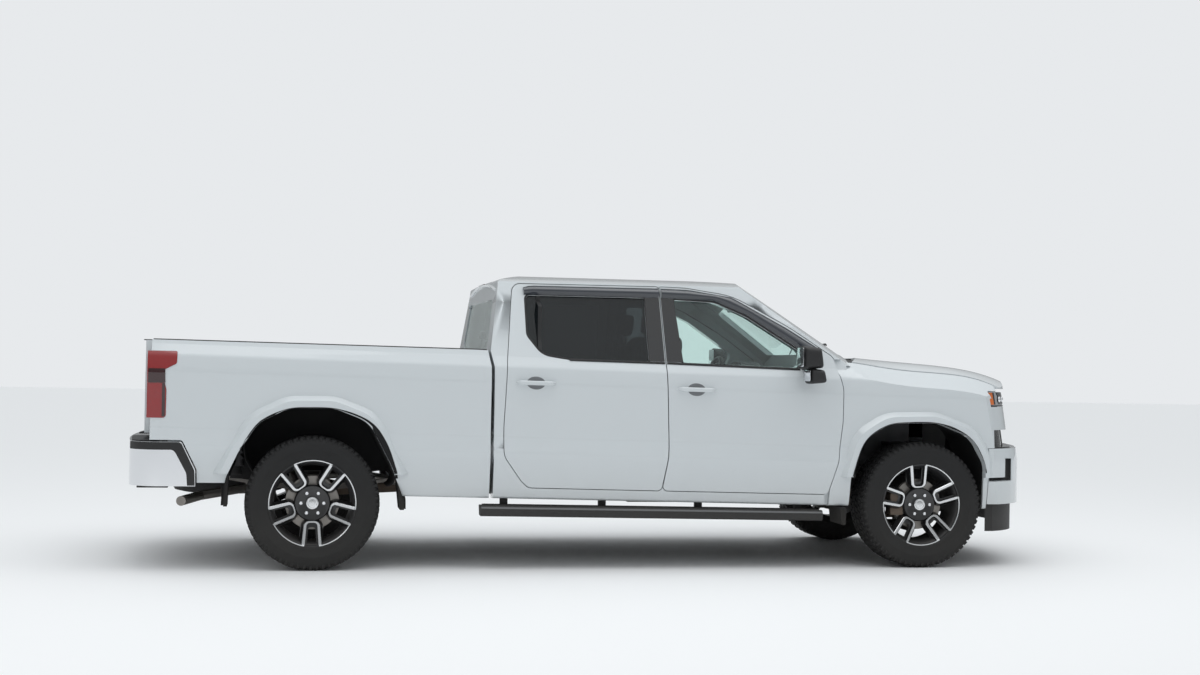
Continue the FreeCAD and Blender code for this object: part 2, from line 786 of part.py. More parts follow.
def bed_front_wall():
    """Front wall of the load bed."""
    x1 = BED_FRONT_X - 22
    top = BED_RAIL_Z - 8
    low = BED_FLOOR_Z - BED_FLOOR_THICKNESS
    wall = block((x1 - 40, -BED_HALF_INSIDE + 0.5, low), (x1, BED_HALF_INSIDE - 0.5, top))
    for y in (-BED_HALF_INSIDE, RAIL_INNER_Y - 0.5):
        wall = wall.cut(block((x1 - 60, y, 1339), (x1 + 20, y + BED_HALF_INSIDE - RAIL_INNER_Y + 0.5, 1500)))
    return wall


def tailgate():
    """Tailgate panel with a recessed handle and a top lip."""
    x1 = BED_BACK_X
    x0 = x1 - TAILGATE_THICKNESS
    top = BED_RAIL_Z + 22
    half = TAILGATE_HALF
    steps = [(x0 - 8, 0, x0 + 14, half), (x1, half), (x1, -half)]
    wire = path((x0 + 14, -half), steps, in_plan_view(TAILGATE_BOTTOM))
    shape = solid(wire, V(0, 0, top - TAILGATE_BOTTOM))
    handle = block((x0 - 20, -95, 1255), (x0 + 22, 95, 1325))
    pin = rod((PIN_X, half - 20, PIN_Z), (PIN_X, half + GATE_GAP + PIN_REACH - 1, PIN_Z), PIN_RADIUS)
    return joined([shape.cut(handle), pin, mirrored(pin)])


def rear_bumper():
    """Rear step bumper with the plate recess."""
    def plan(inset, z_low, height):
        steps = [
            (-2600, 1003),
            (-2780, 1003),
            (-2950, 960, -3020, 800),
            (TAIL_X, 0, -3020, -800),
            (-2950, -960, -2780, -1003),
            (-2600, -1003),
        ]
        wire = path((-2600, 0), steps, in_plan_view(z_low))
        if inset:
            wire = wire.makeOffset2D(-inset)
        return solid(wire, V(0, 0, height))
    shell = plan(0, 520, 270).cut(plan(26, 400, 400)).cut(block((-2700, -970, 400), (-2500, 970, 800)))
    deck = plan(0, 772, 18).cut(block((-2898, -1300, 700), (0, 1300, 900)))
    shape = joined([shell, deck]).common(bumper_notch(0))
    recess = block((-3200, -165, 580), (-3030, 165, 750))
    shape = shape.cut(recess)
    y0 = RAIL_HALF_SPAN - RAIL_WIDTH / 2
    bracket = block((-3052, y0, 662), (RAIL_BACK_X - SEAT_GAP, y0 + RAIL_WIDTH, 765))
    bracket = bracket.common(plan(10, 500, 300))
    return joined([shape, bracket, mirrored(bracket)])


# Running gear below

RAIL_BACK_X = -2930.0
RAIL_LINE = (
    (2740, 640, 40),
    (1820, 640, 150),
    (1590, 588, 150),
    (-1180, 588, 200),
    (-1480, 785, 200),
    (-2300, 790, 200),
    (-2560, 770, 200),
    (RAIL_BACK_X, 770, 0),
    (RAIL_BACK_X, 650, 0),
    (-2560, 640, 200),
    (-2300, 650, 200),
    (-1500, 640, 200),
    (-1190, 440, 200),
    (1360, 440, 150),
    (1720, 480, 150),
    (2740, 500, 40),
)
# Crossmembers: x, z, height, depth along x
CROSSMEMBERS = (
    (2660, 570, 90, 90),
    (1640, 520, 60, 90),
    (520, 476, 60, 110),
    (-900, 565, 44, 110),
    (-1560, 708, 90, 80),
    (-2440, 708, 90, 80),
    (-2880, 705, 90, 84),
)
RECEIVER_SIDE = 63.5
RECEIVER_BORE = 51.6
RECEIVER_Z = 470.0


def frame_rail():
    """Left-hand C-section frame rail."""
    y0 = RAIL_HALF_SPAN - RAIL_WIDTH / 2
    y1 = RAIL_HALF_SPAN + RAIL_WIDTH / 2
    bar = solid(rounded(RAIL_LINE, in_side_view(y0)), V(0, RAIL_WIDTH, 0))
    inner = rounded(RAIL_LINE, in_side_view(y0 - 1)).makeOffset2D(-RAIL_WALL)
    return bar.cut(solid(inner, V(0, RAIL_WIDTH - RAIL_WALL + 1, 0)))


def crossmembers():
    """Crossmembers between the rails, and the hitch receiver below the last."""
    y = RAIL_HALF_SPAN - RAIL_WIDTH / 2 - SEAT_GAP
    web = RAIL_HALF_SPAN + RAIL_WIDTH / 2 - RAIL_WALL - SEAT_GAP
    pieces = []
    for x, z, height, depth in CROSSMEMBERS:
        outer = block((x - depth / 2, -y, z - height / 2), (x + depth / 2, y, z + height / 2))
        low = z - height / 2 + 8
        tongue = block((x - depth / 2, -web, low), (x + depth / 2, web, low + height - 16))
        outer = outer.fuse(tongue).removeSplitter()
        inner = block((x - depth / 2 + 5, -y + 5, z - height / 2 + 5), (x + depth / 2 - 5, y - 5, z + height / 2 - 5))
        hollow = block((x - depth / 2 + 5, -web - 1, low + 5), (x + depth / 2 - 5, web + 1, low + height - 21))
        pieces.append(outer.cut(inner).cut(hollow))
    last_x, last_z, last_height, last_depth = CROSSMEMBERS[-1]
    half = RECEIVER_SIDE / 2
    bore = RECEIVER_BORE / 2
    pipe = block((-3035, -half, RECEIVER_Z - half), (-2835, half, RECEIVER_Z + half))
    pipe = pipe.cut(block((-3040, -bore, RECEIVER_Z - bore), (-2830, bore, RECEIVER_Z + bore)))
    low = RECEIVER_Z + half
    top = last_z - last_height / 2
    hanger = block((last_x - 40, -140, low - 1), (last_x + 40, 140, top))
    hanger = hanger.cut(block((last_x - 60, -110, low + 20), (last_x + 60, 110, top - 20)))
    pieces[-1] = joined([pieces[-1], hanger, pipe])
    return Part.makeCompound(pieces)


def tyre(x, side):
    """Tyre as one turned ring; side is 1 on the left and -1 on the right."""
    w = TYRE_WIDTH / 2
    r = TYRE_RADIUS
    seat = RIM_LIP_RADIUS - 16
    steps = [
        (108, seat),
        (112, seat + 18),
        (122, seat + 26),
        (w, 338),
        (w - 10, r - 22),
        (w - 32, r),
        (-(w - 32), r),
        (-(w - 10), r - 22),
        (-w, 338),
        (-122, seat + 26),
        (-112, seat + 18),
    ]
    wire = path((-108, seat), steps, lambda u, v: V(x, side * TRACK / 2 + u, TYRE_RADIUS + v))
    axis = V(x, 0, TYRE_RADIUS)
    return Part.Face(wire).revolve(axis, ALONG_Y, 360)


def turned(points, x, y, sense):
    """Ring turned about a wheel's axle from (out, radius) points; out grows away from the truck."""
    place = lambda u, v: V(x, y + sense * u, TYRE_RADIUS + v)
    return Part.Face(sharp(points, place)).revolve(V(x, 0, TYRE_RADIUS), ALONG_Y, 360)


def rim(x, side, disc=True):
    """Rim with spokes, hub and brake disc; its face looks outwards on the given side."""
    y = side * TRACK / 2
    half = RIM_WIDTH / 2
    seat = RIM_LIP_RADIUS - 16 - SEAT_GAP
    barrel = turned((
        (-half, seat - RIM_WALL), (-half, RIM_LIP_RADIUS), (-half + 8, RIM_LIP_RADIUS), (-half + 12, seat),
        (half - 12, seat), (half - 8, RIM_LIP_RADIUS), (half, RIM_LIP_RADIUS), (half, seat - RIM_WALL),
    ), x, y, side)
    face = half - 4
    web = turned((
        (face - 52, 0), (face - 38, seat - 4), (face - 6, seat - 4), (face - SPOKE_DISH, 0),
    ), x, y, side)
    cuts = []
    for spoke in range(SPOKES):
        angle = 360.0 * spoke / SPOKES
        for corners, near, far, turn in ((WHEEL_WINDOW, face - 90, face + 20, angle + 180.0 / SPOKES),
                                         (SPOKE_POCKET, face - POCKET_FLOOR, face + 20, angle)):
            place = lambda u, v: V(x + u, y + side * near, TYRE_RADIUS + v)
            hole = solid(sharp(corners, place), V(0, side * (far - near), 0))
            hole.rotate(V(x, 0, TYRE_RADIUS), ALONG_Y, turn)
            cuts.append(hole)
    web = web.cut(cuts)
    cap = rod((x, y + side * (face - 60), TYRE_RADIUS), (x, y + side * (face - 20), TYRE_RADIUS), HUB_RADIUS)
    pieces = [barrel, web, cap]
    if disc:
        pieces.append(rod((x, y + side * 10, TYRE_RADIUS), (x, y + side * (face - 50), TYRE_RADIUS), HUB_RADIUS))
        pieces.append(rod((x, y + side * 10, TYRE_RADIUS), (x, y + side * (10 + DISC_THICKNESS), TYRE_RADIUS),
                          DISC_RADIUS))
    bore = rod((x, y, TYRE_RADIUS), (x, y + side * (SPINDLE_END + 2), TYRE_RADIUS), SPINDLE_RADIUS + SEAT_GAP)
    return joined(pieces).cut(bore)


def knuckle():
    """Left-hand steering knuckle with its caliper."""
    x = FRONT_AXLE_X
    z = TYRE_RADIUS
    y = KINGPIN_Y
    carrier = rod((x, y, z), (x, TRACK / 2 + 10 - MOVING_GAP, z), 62)
    post = block((x - 26, y - 30, POST_LOW), (x + 26, y + 14, POST_HIGH))
    arm = block((x - 190, y - 34, z - 100), (x, y - 6, z - 60))
    caliper = block((x - 196, TRACK / 2 + 2 - MOVING_GAP - 20, z - 70), (x - 110, TRACK / 2 + 2 - MOVING_GAP, z + 70))
    outer = block((x - 196, TRACK / 2 + 10 + DISC_THICKNESS + MOVING_GAP, z - 70),
                  (x - 110, TRACK / 2 + 10 + DISC_THICKNESS + MOVING_GAP + 22, z + 70))
    bridge = block((x - 196, TRACK / 2 - 24, z - 70),
                   (x - 176, TRACK / 2 + 10 + DISC_THICKNESS + MOVING_GAP + 22, z + 70))
    carry = block((x - 130, y - 8, z - 30), (x - 20, TRACK / 2 - 6, z + 30))
    spindle = rod((x, y, z), (x, TRACK / 2 + SPINDLE_END, z), SPINDLE_RADIUS)
    return joined([carrier, post, arm, caliper, outer, bridge, carry, spindle])


def pipe_run(points, radius):
    """Round pipe along straight runs with ball corners."""
    pieces = [rod(points[i], points[i + 1], radius) for i in range(len(points) - 1)]
    pieces += [Part.makeSphere(radius, V(*point)) for point in points[1:-1]]
    return joined(pieces)


def front_suspension():
    """Left-hand arms, strut with its spring, and their brackets."""
    x = FRONT_AXLE_X
    rail = RAIL_HALF_SPAN + RAIL_WIDTH / 2
    pieces = []
    for reach, z_in, z_out, y_in in ((215, 300, 236, rail - 30), (125, 618, 622, rail + 12)):
        for s in (-1, 1):
            pieces.append(rod((x + s * reach, y_in, z_in), (x, KINGPIN_Y - 2, z_out), 15))
    pieces.append(rod((x, KINGPIN_Y, 224), (x, KINGPIN_Y, POST_LOW - SEAT_GAP), 26))
    pieces.append(rod((x, KINGPIN_Y, POST_HIGH + SEAT_GAP), (x, KINGPIN_Y, 634), 24))
    for s in (-1, 1):
        hang = x + s * 215
        top = 480 + (hang - 30 - 1720) * RAIL_FRONT_SLOPE - SEAT_GAP
        pieces.append(block((hang - 30, rail - 60, 275), (hang + 30, rail, top)))
        lug = x + s * 125
        pieces.append(block((lug - 25, rail + SEAT_GAP, 590), (lug + 25, rail + 28, 636)))
        pieces.append(block((x + s * 39 - 5, 575, 254), (x + s * 39 + 5, 625, 500)))
    pieces.append(block((x - 125, 575, 254), (x + 125, 625, 285)))
    pieces.append(block((x - 44, 575, 480), (x + 44, 625, 505)))
    pieces.append(rod((x, 600, 500), (x, 600, 760), 26))
    pieces.append(rod((x, 600, 535), (x, 600, 802), 54))
    pieces.append(block((x - 75, rail - 46, 800), (x + 75, 655, 812)))
    pieces.append(block((x - 75, rail - 46, 640 + SEAT_GAP), (x + 75, rail - 34, 812)))
    return joined(pieces)


RAIL_FRONT_SLOPE = 0.0196
POST_LOW = 262.0
POST_HIGH = 604.0


def driveline():
    """Gearbox with transfer case and shafts, and the front axle housing with its half shafts."""
    box = joined([
        rod((1592 - SEAT_GAP, 0, 604), (1578, 0, 604), 178),
        rod((1580, 0, 604), (700, 0, 604), 118),
        block((490, -165, 506 + SEAT_GAP), (702, 165, 690)),
        rod((495, 0, 550), (-1735, 0, 432), 40),
        rod((700, 140, 551), (1985, 150, 424), 26),
        block((600, 100, 520), (702, 180, 600)),
    ])
    x = FRONT_AXLE_X
    z = TYRE_RADIUS
    inner = RAIL_HALF_SPAN - RAIL_WIDTH / 2 - SEAT_GAP
    housing = [rod((x - 95, 150, z), (x + 100, 150, z), 96), rod((x, -370, z), (x, 370, z), 42)]
    for s in (-1, 1):
        housing.append(rod((x, s * 360, z), (x, s * 752, z), 20))
        housing.append(rod((x, s * 365, z), (x, s * 450, z), 44))
        housing.append(rod((x, s * 670, z), (x, s * 745, z), 40))
        y = sorted((s * (inner - 26), s * inner))
        housing.append(block((x - 22, y[0], z), (x + 22, y[1], 520)))
    return joined([box, *housing])


def rear_axle():
    """Rear axle tube with its differential, spring pads and shock brackets."""
    x = REAR_AXLE_X
    z = TYRE_RADIUS
    end = TRACK / 2 + 10 - MOVING_GAP
    pieces = [rod((x, -end, z), (x, end, z), 46), rod((x - 120, 0, z), (x + 110, 0, z), 138),
              rod((x + 100, 0, z + 6), (x + 165, 0, z + 10), 60)]
    for s in (-1, 1):
        y = sorted((s * (LEAF_Y - 32), s * (LEAF_Y + 32)))
        pieces.append(block((x - 60, y[0], z), (x + 60, y[1], LEAF_LOW - SEAT_GAP)))
        y = sorted((s * 590, s * 630))
        pieces.append(block((x - 95, y[0], z - 20), (x, y[1], z + 20)))
        pieces.append(rod((x, s * (end - 16), z), (x, s * end, z), 120))
        pieces.append(rod((x, s * (end - 16), z), (x, s * (TRACK / 2 + SPINDLE_END), z), SPINDLE_RADIUS))
    return joined(pieces)


LEAF_Y = 532.0
LEAF_LOW = 470.0
LEAF_RADIUS = 2806.0
LEAF_THICKNESS = 11.0
LEAF_WIDTH = 60.0
# Leaves from the lowest up: layer, front end x, back end x
LEAVES = (
    (0, -1500, -2320),
    (1, -1340, -2480),
    (2, -1200, -2620),
)


def rear_suspension():
    """Left-hand leaf spring with hanger and shackle, and the shock absorber."""
    y = LEAF_Y - 30
    bands = []
    for layer, front, back in LEAVES:
        radius = LEAF_RADIUS - layer * LEAF_THICKNESS
        centre = V(REAR_AXLE_X, y, LEAF_LOW + LEAF_RADIUS)
        ring = Part.makeCylinder(radius, LEAF_WIDTH, centre, ALONG_Y)
        ring = ring.cut(Part.makeCylinder(radius - LEAF_THICKNESS, LEAF_WIDTH, centre, ALONG_Y))
        bands.append(ring.common(block((back, y - 1, LEAF_LOW - 1), (front, y + LEAF_WIDTH + 1, LEAF_LOW + 400))))
    rail = RAIL_HALF_SPAN + RAIL_WIDTH / 2 + SEAT_GAP
    bands.append(block((-1232, rail, 530), (-1172, y + LEAF_WIDTH, 610)))
    bands.append(block((-2650, rail, 570), (-2600, y + LEAF_WIDTH, 700)))
    bands.append(block((REAR_AXLE_X - 50, y - 5, LEAF_LOW), (REAR_AXLE_X + 50, y + 65, LEAF_LOW + 48)))
    x = REAR_AXLE_X - 75
    shock = rod((x, 610, TYRE_RADIUS + 20 + SEAT_GAP), (x - 90, 500, 700), 24)
    shock = shock.cut(block((x - 100, 500, 300), (x + 100, 700, TYRE_RADIUS + 20 + SEAT_GAP)))
    top = block((x - 125, rail, 672), (x - 55, 530, 735))
    return Part.makeCompound([joined(bands), joined([shock, top])])


def exhaust():
    """Exhaust pipe, silencer and tail pipe on the right."""
    front = pipe_run(((1560, -250, 440), (1250, -250, 402), (250, -250, 402), (100, -240, 480)), 32)
    silencer = solid(rounded(((-330, 430, 60), (-330, 560, 60), (-150, 560, 60), (-150, 430, 60)),
                             in_end_view(-700)), V(820, 0, 0))
    tail = pipe_run(((-690, -250, 490), (-1150, -270, 480), (-1650, -300, 560), (-2060, -330, 540),
                     (-2330, -445, 470), (-2600, -560, 430), (-2700, -930, 425)), 30)
    y = RAIL_HALF_SPAN - RAIL_WIDTH / 2 - SEAT_GAP
    hanger = block((-60, -y, 545), (0, -300, 587))
    return joined([front, silencer, tail, hanger])


def fuel_tank():
    """Fuel tank inside the left rail."""
    y = RAIL_HALF_SPAN - RAIL_WIDTH / 2 - SEAT_GAP
    corners = ((-820, 400, 40), (-820, 585, 40), (430, 585, 40), (430, 430, 60), (200, 400, 60))
    return solid(rounded(corners, in_side_view(110)), V(0, y - 110, 0))


def spare_wheel():
    """Spare wheel lying below the load floor."""
    x, top = SPARE_AT
    centre = top - 118
    place = lambda u, v: V(x + u, 0, centre + v)
    ring = sharp(((205, -95), (300, -118), (350, -106), (372, -70), (372, 70), (350, 106), (300, 118), (205, 95)),
                 place)
    tyre_ring = Part.Face(ring).revolve(V(x, 0, 0), ALONG_Z, 360)
    dish = sharp(((0, 20), (90, 20), (150, -40), (206, -40), (206, -70), (140, -70), (80, -10), (0, -10)), place)
    hoist = rod((x, 0, centre + 10), (x, 0, CROSSMEMBERS[5][1] - CROSSMEMBERS[5][2] / 2 - SEAT_GAP), 18)
    return joined([tyre_ring, Part.Face(dish).revolve(V(x, 0, 0), ALONG_Z, 360), hoist])


SPARE_AT = (-2440.0, 657.0)


def engine_block():
    """Engine as one plain block with its two mounts."""
    y = RAIL_HALF_SPAN + RAIL_WIDTH / 2 - RAIL_WALL - SEAT_GAP
    shape = block((1592, -300, 560), (2260, 300, 1120)).fuse(block((1950, -y, 560), (2060, y, 610)))
    return shape.removeSplitter()


def radiator():
    """Radiator behind the grille, standing on the front crossmember."""
    x, z, height, depth = CROSSMEMBERS[0]
    low = z + height / 2 + SEAT_GAP
    core = block((x - 30, -370, low), (x + 30, 370, 1080))
    fan = rod((x - 90, 0, 850), (x - 28, 0, 850), 220)
    support = block((x - 10, -SUPPORT_HALF, 1092), (x + 50, SUPPORT_HALF, 1160)).fuse(block((x - 10, -300, 1070), (x + 30, 300, 1095)))
    rests = [rod((x, y, 1158), (x, y, 1300), 14).common(hood_loft(HOOD_THICKNESS + SEAT_GAP)) for y in (-420, 420)]
    return joined([core, fan, support, *rests])


# Splash guards ahead of and behind the rear wheel, in side view: x, z
REAR_FLAPS = (
    ((-1390, 602), (-1364, 376), (-1320, 376), (-1320, 602)),
    ((-2417, 640), (-2423, 396), (-2480, 396), (-2480, 640)),
)


def arch_liners():
    """Left-hand wheel-arch liners with their splash guards, as separate solids."""
    rail = RAIL_HALF_SPAN + RAIL_WIDTH / 2 + SEAT_GAP
    low = block((-3000, 0, 0), (3200, 1300, 480))
    front = arch_column(FRONT_LINER, 5, rail, 944).cut(arch_column(FRONT_LINER, 0, rail - 1, 945))
    front = front.cut(low)
    guard = solid(rounded(((1505, 480, 0), (1560, 480, 0), (1553, 284, 8), (1530, 284, 8)), in_side_view(760)),
                  V(0, 245, 0))
    guard = guard.cut(block((1400, 860, 398), (1700, 1300, 600)))
    front = joined([front, guard, block((1530, 760, 470), (1579, 860, 520))])
    rear = arch_column(REAR_ARCH, 18, 700, 903).cut(arch_column(REAR_ARCH, 13, 699, 904)).cut(low)
    rear = rear.cut(block((-3000, 0, BED_FLOOR_Z - BED_FLOOR_THICKNESS - SEAT_GAP), (0, 1300, 1500)))
    reach = arch_column(REAR_ARCH, -1, 772, 985).fuse(arch_column(REAR_ARCH, 16, 772, 903))
    flaps = [solid(sharp(corners, in_side_view(772)), V(0, 213, 0)).common(reach) for corners in REAR_FLAPS]
    return Part.makeCompound(front.Solids + joined([rear, *flaps]).Solids)


def running_board():
    """Left-hand running board with its brackets."""
    x0 = -858.0
    span = 2252.0
    section = rounded(((874, 404, 12), (1000, 408, 22), (1012, 380, 14), (1000, 338, 18), (900, 342, 18)),
                      in_end_view(x0))
    board = solid(section, V(span, 0, -BOARD_RAKE * span))
    pieces = [board]
    for x in (-700, -60, 580, 1260):
        top = CAB_BOTTOM - RAKE * (x + 25) - SEAT_GAP
        pieces.append(block((x - 25, 876, 360), (x + 25, 896, top)))
    return joined(pieces)


BOARD_RAKE = 0.0124


def door_mirror(shell):
    """Left-hand door mirror: housing and foot."""
    housing = solid(rounded(((1188, 1300, 20), (1190, 1462, 22), (1262, 1452, 40), (1345, 1330, 30),
                             (1362, 1210, 20), (1236, 1204, 20)), in_side_view(1046)), V(0, 160, 0))
    foot = block((1268, 900, 1296), (1330, 1050, 1336)).cut(shell["outer"])
    return joined([housing, foot])


def dashboard():
    """Dashboard, steering column and steering wheel."""
    corners = ((CAB_FRONT_X - SEAT_GAP, 760, 0), (CAB_FRONT_X - SEAT_GAP, 1300, 0), (1330, 1318, 60),
               (1180, 1290, 50), (1150, 1180, 40), (1230, 1080, 60), (1260, 820, 40), (1340, 760, 30))
    dash = solid(rounded(corners, in_side_view(-840)), V(0, 1680, 0))
    dash = dash.cut(block((1100, -240, 700), (1600, 240, TUNNEL_TOP + 26)))
    hub = V(1000, DRIVER_Y, 1206)
    out = V(-math.cos(COLUMN_RISE), 0, math.sin(COLUMN_RISE))
    column = Part.makeCylinder(32, 330, hub - out * 330, out)
    corners = [(15 * math.cos(math.radians(a)), 15 * math.sin(math.radians(a))) for a in range(0, 360, 60)]
    wheel = sharp(corners, lambda u, v: hub + out * (12 + u) + ALONG_Y * (WHEEL_RING + v))
    wheel = Part.Face(wheel).revolve(hub, out, 360)
    boss = Part.makeCylinder(70, 40, hub - out * 14, out)
    bars = [rod((hub.x + out.x * 12, DRIVER_Y, hub.z + out.z * 12),
                (hub.x + out.x * 12 + math.sin(COLUMN_RISE) * dz * WHEEL_RING, DRIVER_Y + dy * WHEEL_RING,
                 hub.z + out.z * 12 + math.cos(COLUMN_RISE) * dz * WHEEL_RING), 13)
            for dy, dz in ((1, 0), (-1, 0), (0, -1))]
    return joined([dash, column, wheel, boss, *bars])


DRIVER_Y = 425.0
WHEEL_RING = 178.0
COLUMN_RISE = math.radians(24)


def seats():
    """Two front seats, the console between them and the rear bench."""
    front = ((352, 812, 30), (930, 836, 40), (975, 930, 40), (925, 990, 45), (545, 955, 70),
             (415, 1500, 50), (300, 1500, 50), (345, 960, 60))
    seat = solid(rounded(front, in_side_view(168)), V(0, 514, 0))
    base = block((450, 250, CAB_FLOOR_Z + SEAT_GAP), (880, 640, 830))
    rest = solid(rounded(((300, 1530, 30), (300, 1668, 40), (385, 1668, 40), (395, 1530, 30)),
                         in_side_view(300)), V(0, 250, 0))
    posts = [rod((345, y, 1480), (345, y, 1540), 8) for y in (370, 480)]
    single = joined([seat, base, rest, *posts])
    back_x = CAB_BACK_X + ROOF_WALL + 8
    bench = ((back_x, 700, 30), (back_x, 1000, 40), (back_x + 14, 1530, 50), (back_x + 120, 1530, 50),
             (back_x + 190, 985, 70), (-180, 1000, 50), (-150, 880, 40), (-200, 800, 30), (-560, 760, 60))
    rear = solid(rounded(bench, in_side_view(-690)), V(0, 1380, 0))
    stand = block((-640, -500, CAB_FLOOR_Z + SEAT_GAP), (-300, 500, 800))
    console = block((480, -115, TUNNEL_TOP + 20 + SEAT_GAP), (1120, 115, 990))
    return Part.makeCompound([single, mirrored(single), joined([rear, stand]), console])


def main():
    """Build and write every node."""
    os.makedirs("parts", exist_ok=True)
    shell = {
        "outer": cab_envelope(0, 0),
        "skin": cab_envelope(DOOR_SKIN, 0),
        "fender_back": cab_envelope(FENDER_SKIN + 4, 0),
        "rebate": cab_envelope(DOOR_SKIN + MOVING_GAP, -20),
        "lining": cab_envelope(DOOR_DEPTH, ROOF_WALL),
        "hollow": cab_envelope(SIDE_WALL, ROOF_WALL),
        "glass_out": cab_envelope(GLASS_RECESS, 0),
        "glass_in": cab_envelope(GLASS_RECESS + GLASS, 0),
        "pane_out": cab_envelope(0, 6),
        "pane_in": cab_envelope(-10, 6 + GLASS),
    }
    body, panes = cab_pieces(shell)
    save("cab_shell", body)
    save("cab_glass", panes)
    for name, outline, window in (("rear", REAR_DOOR, REAR_WINDOW), ("front", FRONT_DOOR, FRONT_WINDOW)):
        panel = door_panel(outline, window, shell)
        pane = door_glass(window, shell)
        if name == "front":
            wing = door_mirror(shell)
            save("mirror_left", wing)
            save("mirror_right", mirrored(wing))
        save("door_" + name + "_left", panel)
        save("door_" + name + "_right", mirrored(panel))
        save("glass_" + name + "_left", pane)
        save("glass_" + name + "_right", mirrored(pane))
    save("hood", hood())
    save("front_fenders", both_sides(front_fender(FRONT_DOOR)))
    save("headlamps", both_sides(headlamp()))
    save("front_bumper", front_bumper())
    save("air_dam", air_dam())
    save("grille", grille())
    save("cowl", cowl())
    save("bed_sides", both_sides(bed_side()))
    save("tail_lamps", both_sides(tail_lamp()))
    save("bed_floor", bed_floor())
    save("bed_front_wall", bed_front_wall())
    save("tailgate", tailgate())
    save("rear_bumper", rear_bumper())
    save("frame_rails", both_sides(frame_rail()))
    save("crossmembers", crossmembers())
    for end, x in (("front", FRONT_AXLE_X), ("rear", REAR_AXLE_X)):
        for name, side in (("left", 1), ("right", -1)):
            save("tyre_" + end + "_" + name, tyre(x, side))
            save("rim_" + end + "_" + name, rim(x, side))
    save("knuckle_left", knuckle())
    save("knuckle_right", mirrored(knuckle()))
    save("front_suspension", both_sides(front_suspension()))
    save("driveline", driveline())
    save("rear_axle", rear_axle())
    save("rear_suspension", both_sides(rear_suspension()))
    save("exhaust", exhaust())
    save("fuel_tank", fuel_tank())
    save("spare_wheel", spare_wheel())
    save("engine_block", engine_block())
    save("radiator", radiator())
    save("arch_liners", both_sides(arch_liners()))
    save("running_boards", both_sides(running_board()))
    save("dashboard", dashboard())
    save("seats", seats())


if __name__ == "__main__":
    main()
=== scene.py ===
"""Looks of a white crew cab pickup truck, dressed on its fixed frame.

Metres. +X points forward, +Y to the left and +Z up, with the ground at Z = 0.
"""

import json
import logging
import math
from dataclasses import dataclass, field
from enum import Enum
from typing import Callable, Sequence

import bmesh
import bpy
from mathutils import Matrix, Vector
from mathutils.bvhtree import BVHTree

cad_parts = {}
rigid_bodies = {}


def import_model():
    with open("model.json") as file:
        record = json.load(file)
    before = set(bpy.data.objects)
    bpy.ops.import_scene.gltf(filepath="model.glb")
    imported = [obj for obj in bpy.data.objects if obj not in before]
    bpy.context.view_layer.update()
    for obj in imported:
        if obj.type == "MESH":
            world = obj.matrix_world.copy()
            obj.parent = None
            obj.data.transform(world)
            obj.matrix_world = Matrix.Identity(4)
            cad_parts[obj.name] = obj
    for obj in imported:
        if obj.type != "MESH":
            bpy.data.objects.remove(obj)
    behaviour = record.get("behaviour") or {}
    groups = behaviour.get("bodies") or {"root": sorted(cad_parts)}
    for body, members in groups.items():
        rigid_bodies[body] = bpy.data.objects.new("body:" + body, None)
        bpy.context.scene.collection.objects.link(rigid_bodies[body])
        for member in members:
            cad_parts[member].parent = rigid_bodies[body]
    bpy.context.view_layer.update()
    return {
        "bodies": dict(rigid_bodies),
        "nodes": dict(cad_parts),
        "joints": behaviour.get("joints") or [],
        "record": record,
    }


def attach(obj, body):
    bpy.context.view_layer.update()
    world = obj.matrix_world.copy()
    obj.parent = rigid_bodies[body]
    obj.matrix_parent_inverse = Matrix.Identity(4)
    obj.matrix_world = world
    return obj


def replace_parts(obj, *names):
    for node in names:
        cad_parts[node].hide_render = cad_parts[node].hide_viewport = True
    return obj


log = logging.getLogger("truck")

Point2 = tuple[float, float]
Corner = tuple[float, float, float]
Colour = tuple[float, float, float]

# Places taken over from the frame
FRONT_AXLE_X = 2.083
REAR_AXLE_X = -1.905
HALF_TRACK = 0.871
TYRE_RADIUS = 0.416


class Side(Enum):
    """The two sides of the truck, by the sign of their Y."""

    LEFT = 1
    RIGHT = -1

    @property
    def word(self) -> str:
        """Name of the side as used in the bodies' names."""
        return self.name.lower()


class Pattern(Enum):
    """Kinds of surface that need more than a colour and fine relief."""

    PLAIN = "plain"
    WEAVE = "weave"
    CAST = "cast"


class Copies(Enum):
    """Ways to repeat an object, by the name of their node tree."""

    RING = "Ring Of"
    ROW = "Row Of"


def angles(steps: int) -> list[float]:
    """Return evenly spread angles of a full turn."""
    return [2 * math.pi * k / steps for k in range(steps)]


def spread(low: float, high: float, parts: int) -> list[float]:
    """Return evenly spread numbers from low to high, with both ends."""
    return [low + (high - low) * k / parts for k in range(parts + 1)]


def quarter(spot: Sequence[float], axis: str) -> Matrix:
    """Return a quarter turn about an axis followed by a move to a spot."""
    return Matrix.Translation(spot) @ Matrix.Rotation(math.pi / 2, 4, axis)


def facing(spot: Vector, normal: Vector) -> Matrix:
    """Return the transform that brings the origin to a spot and +Y to its normal."""
    return Matrix.Translation(spot) @ normal.to_track_quat("Y", "Z").to_matrix().to_4x4()


# Shader groups

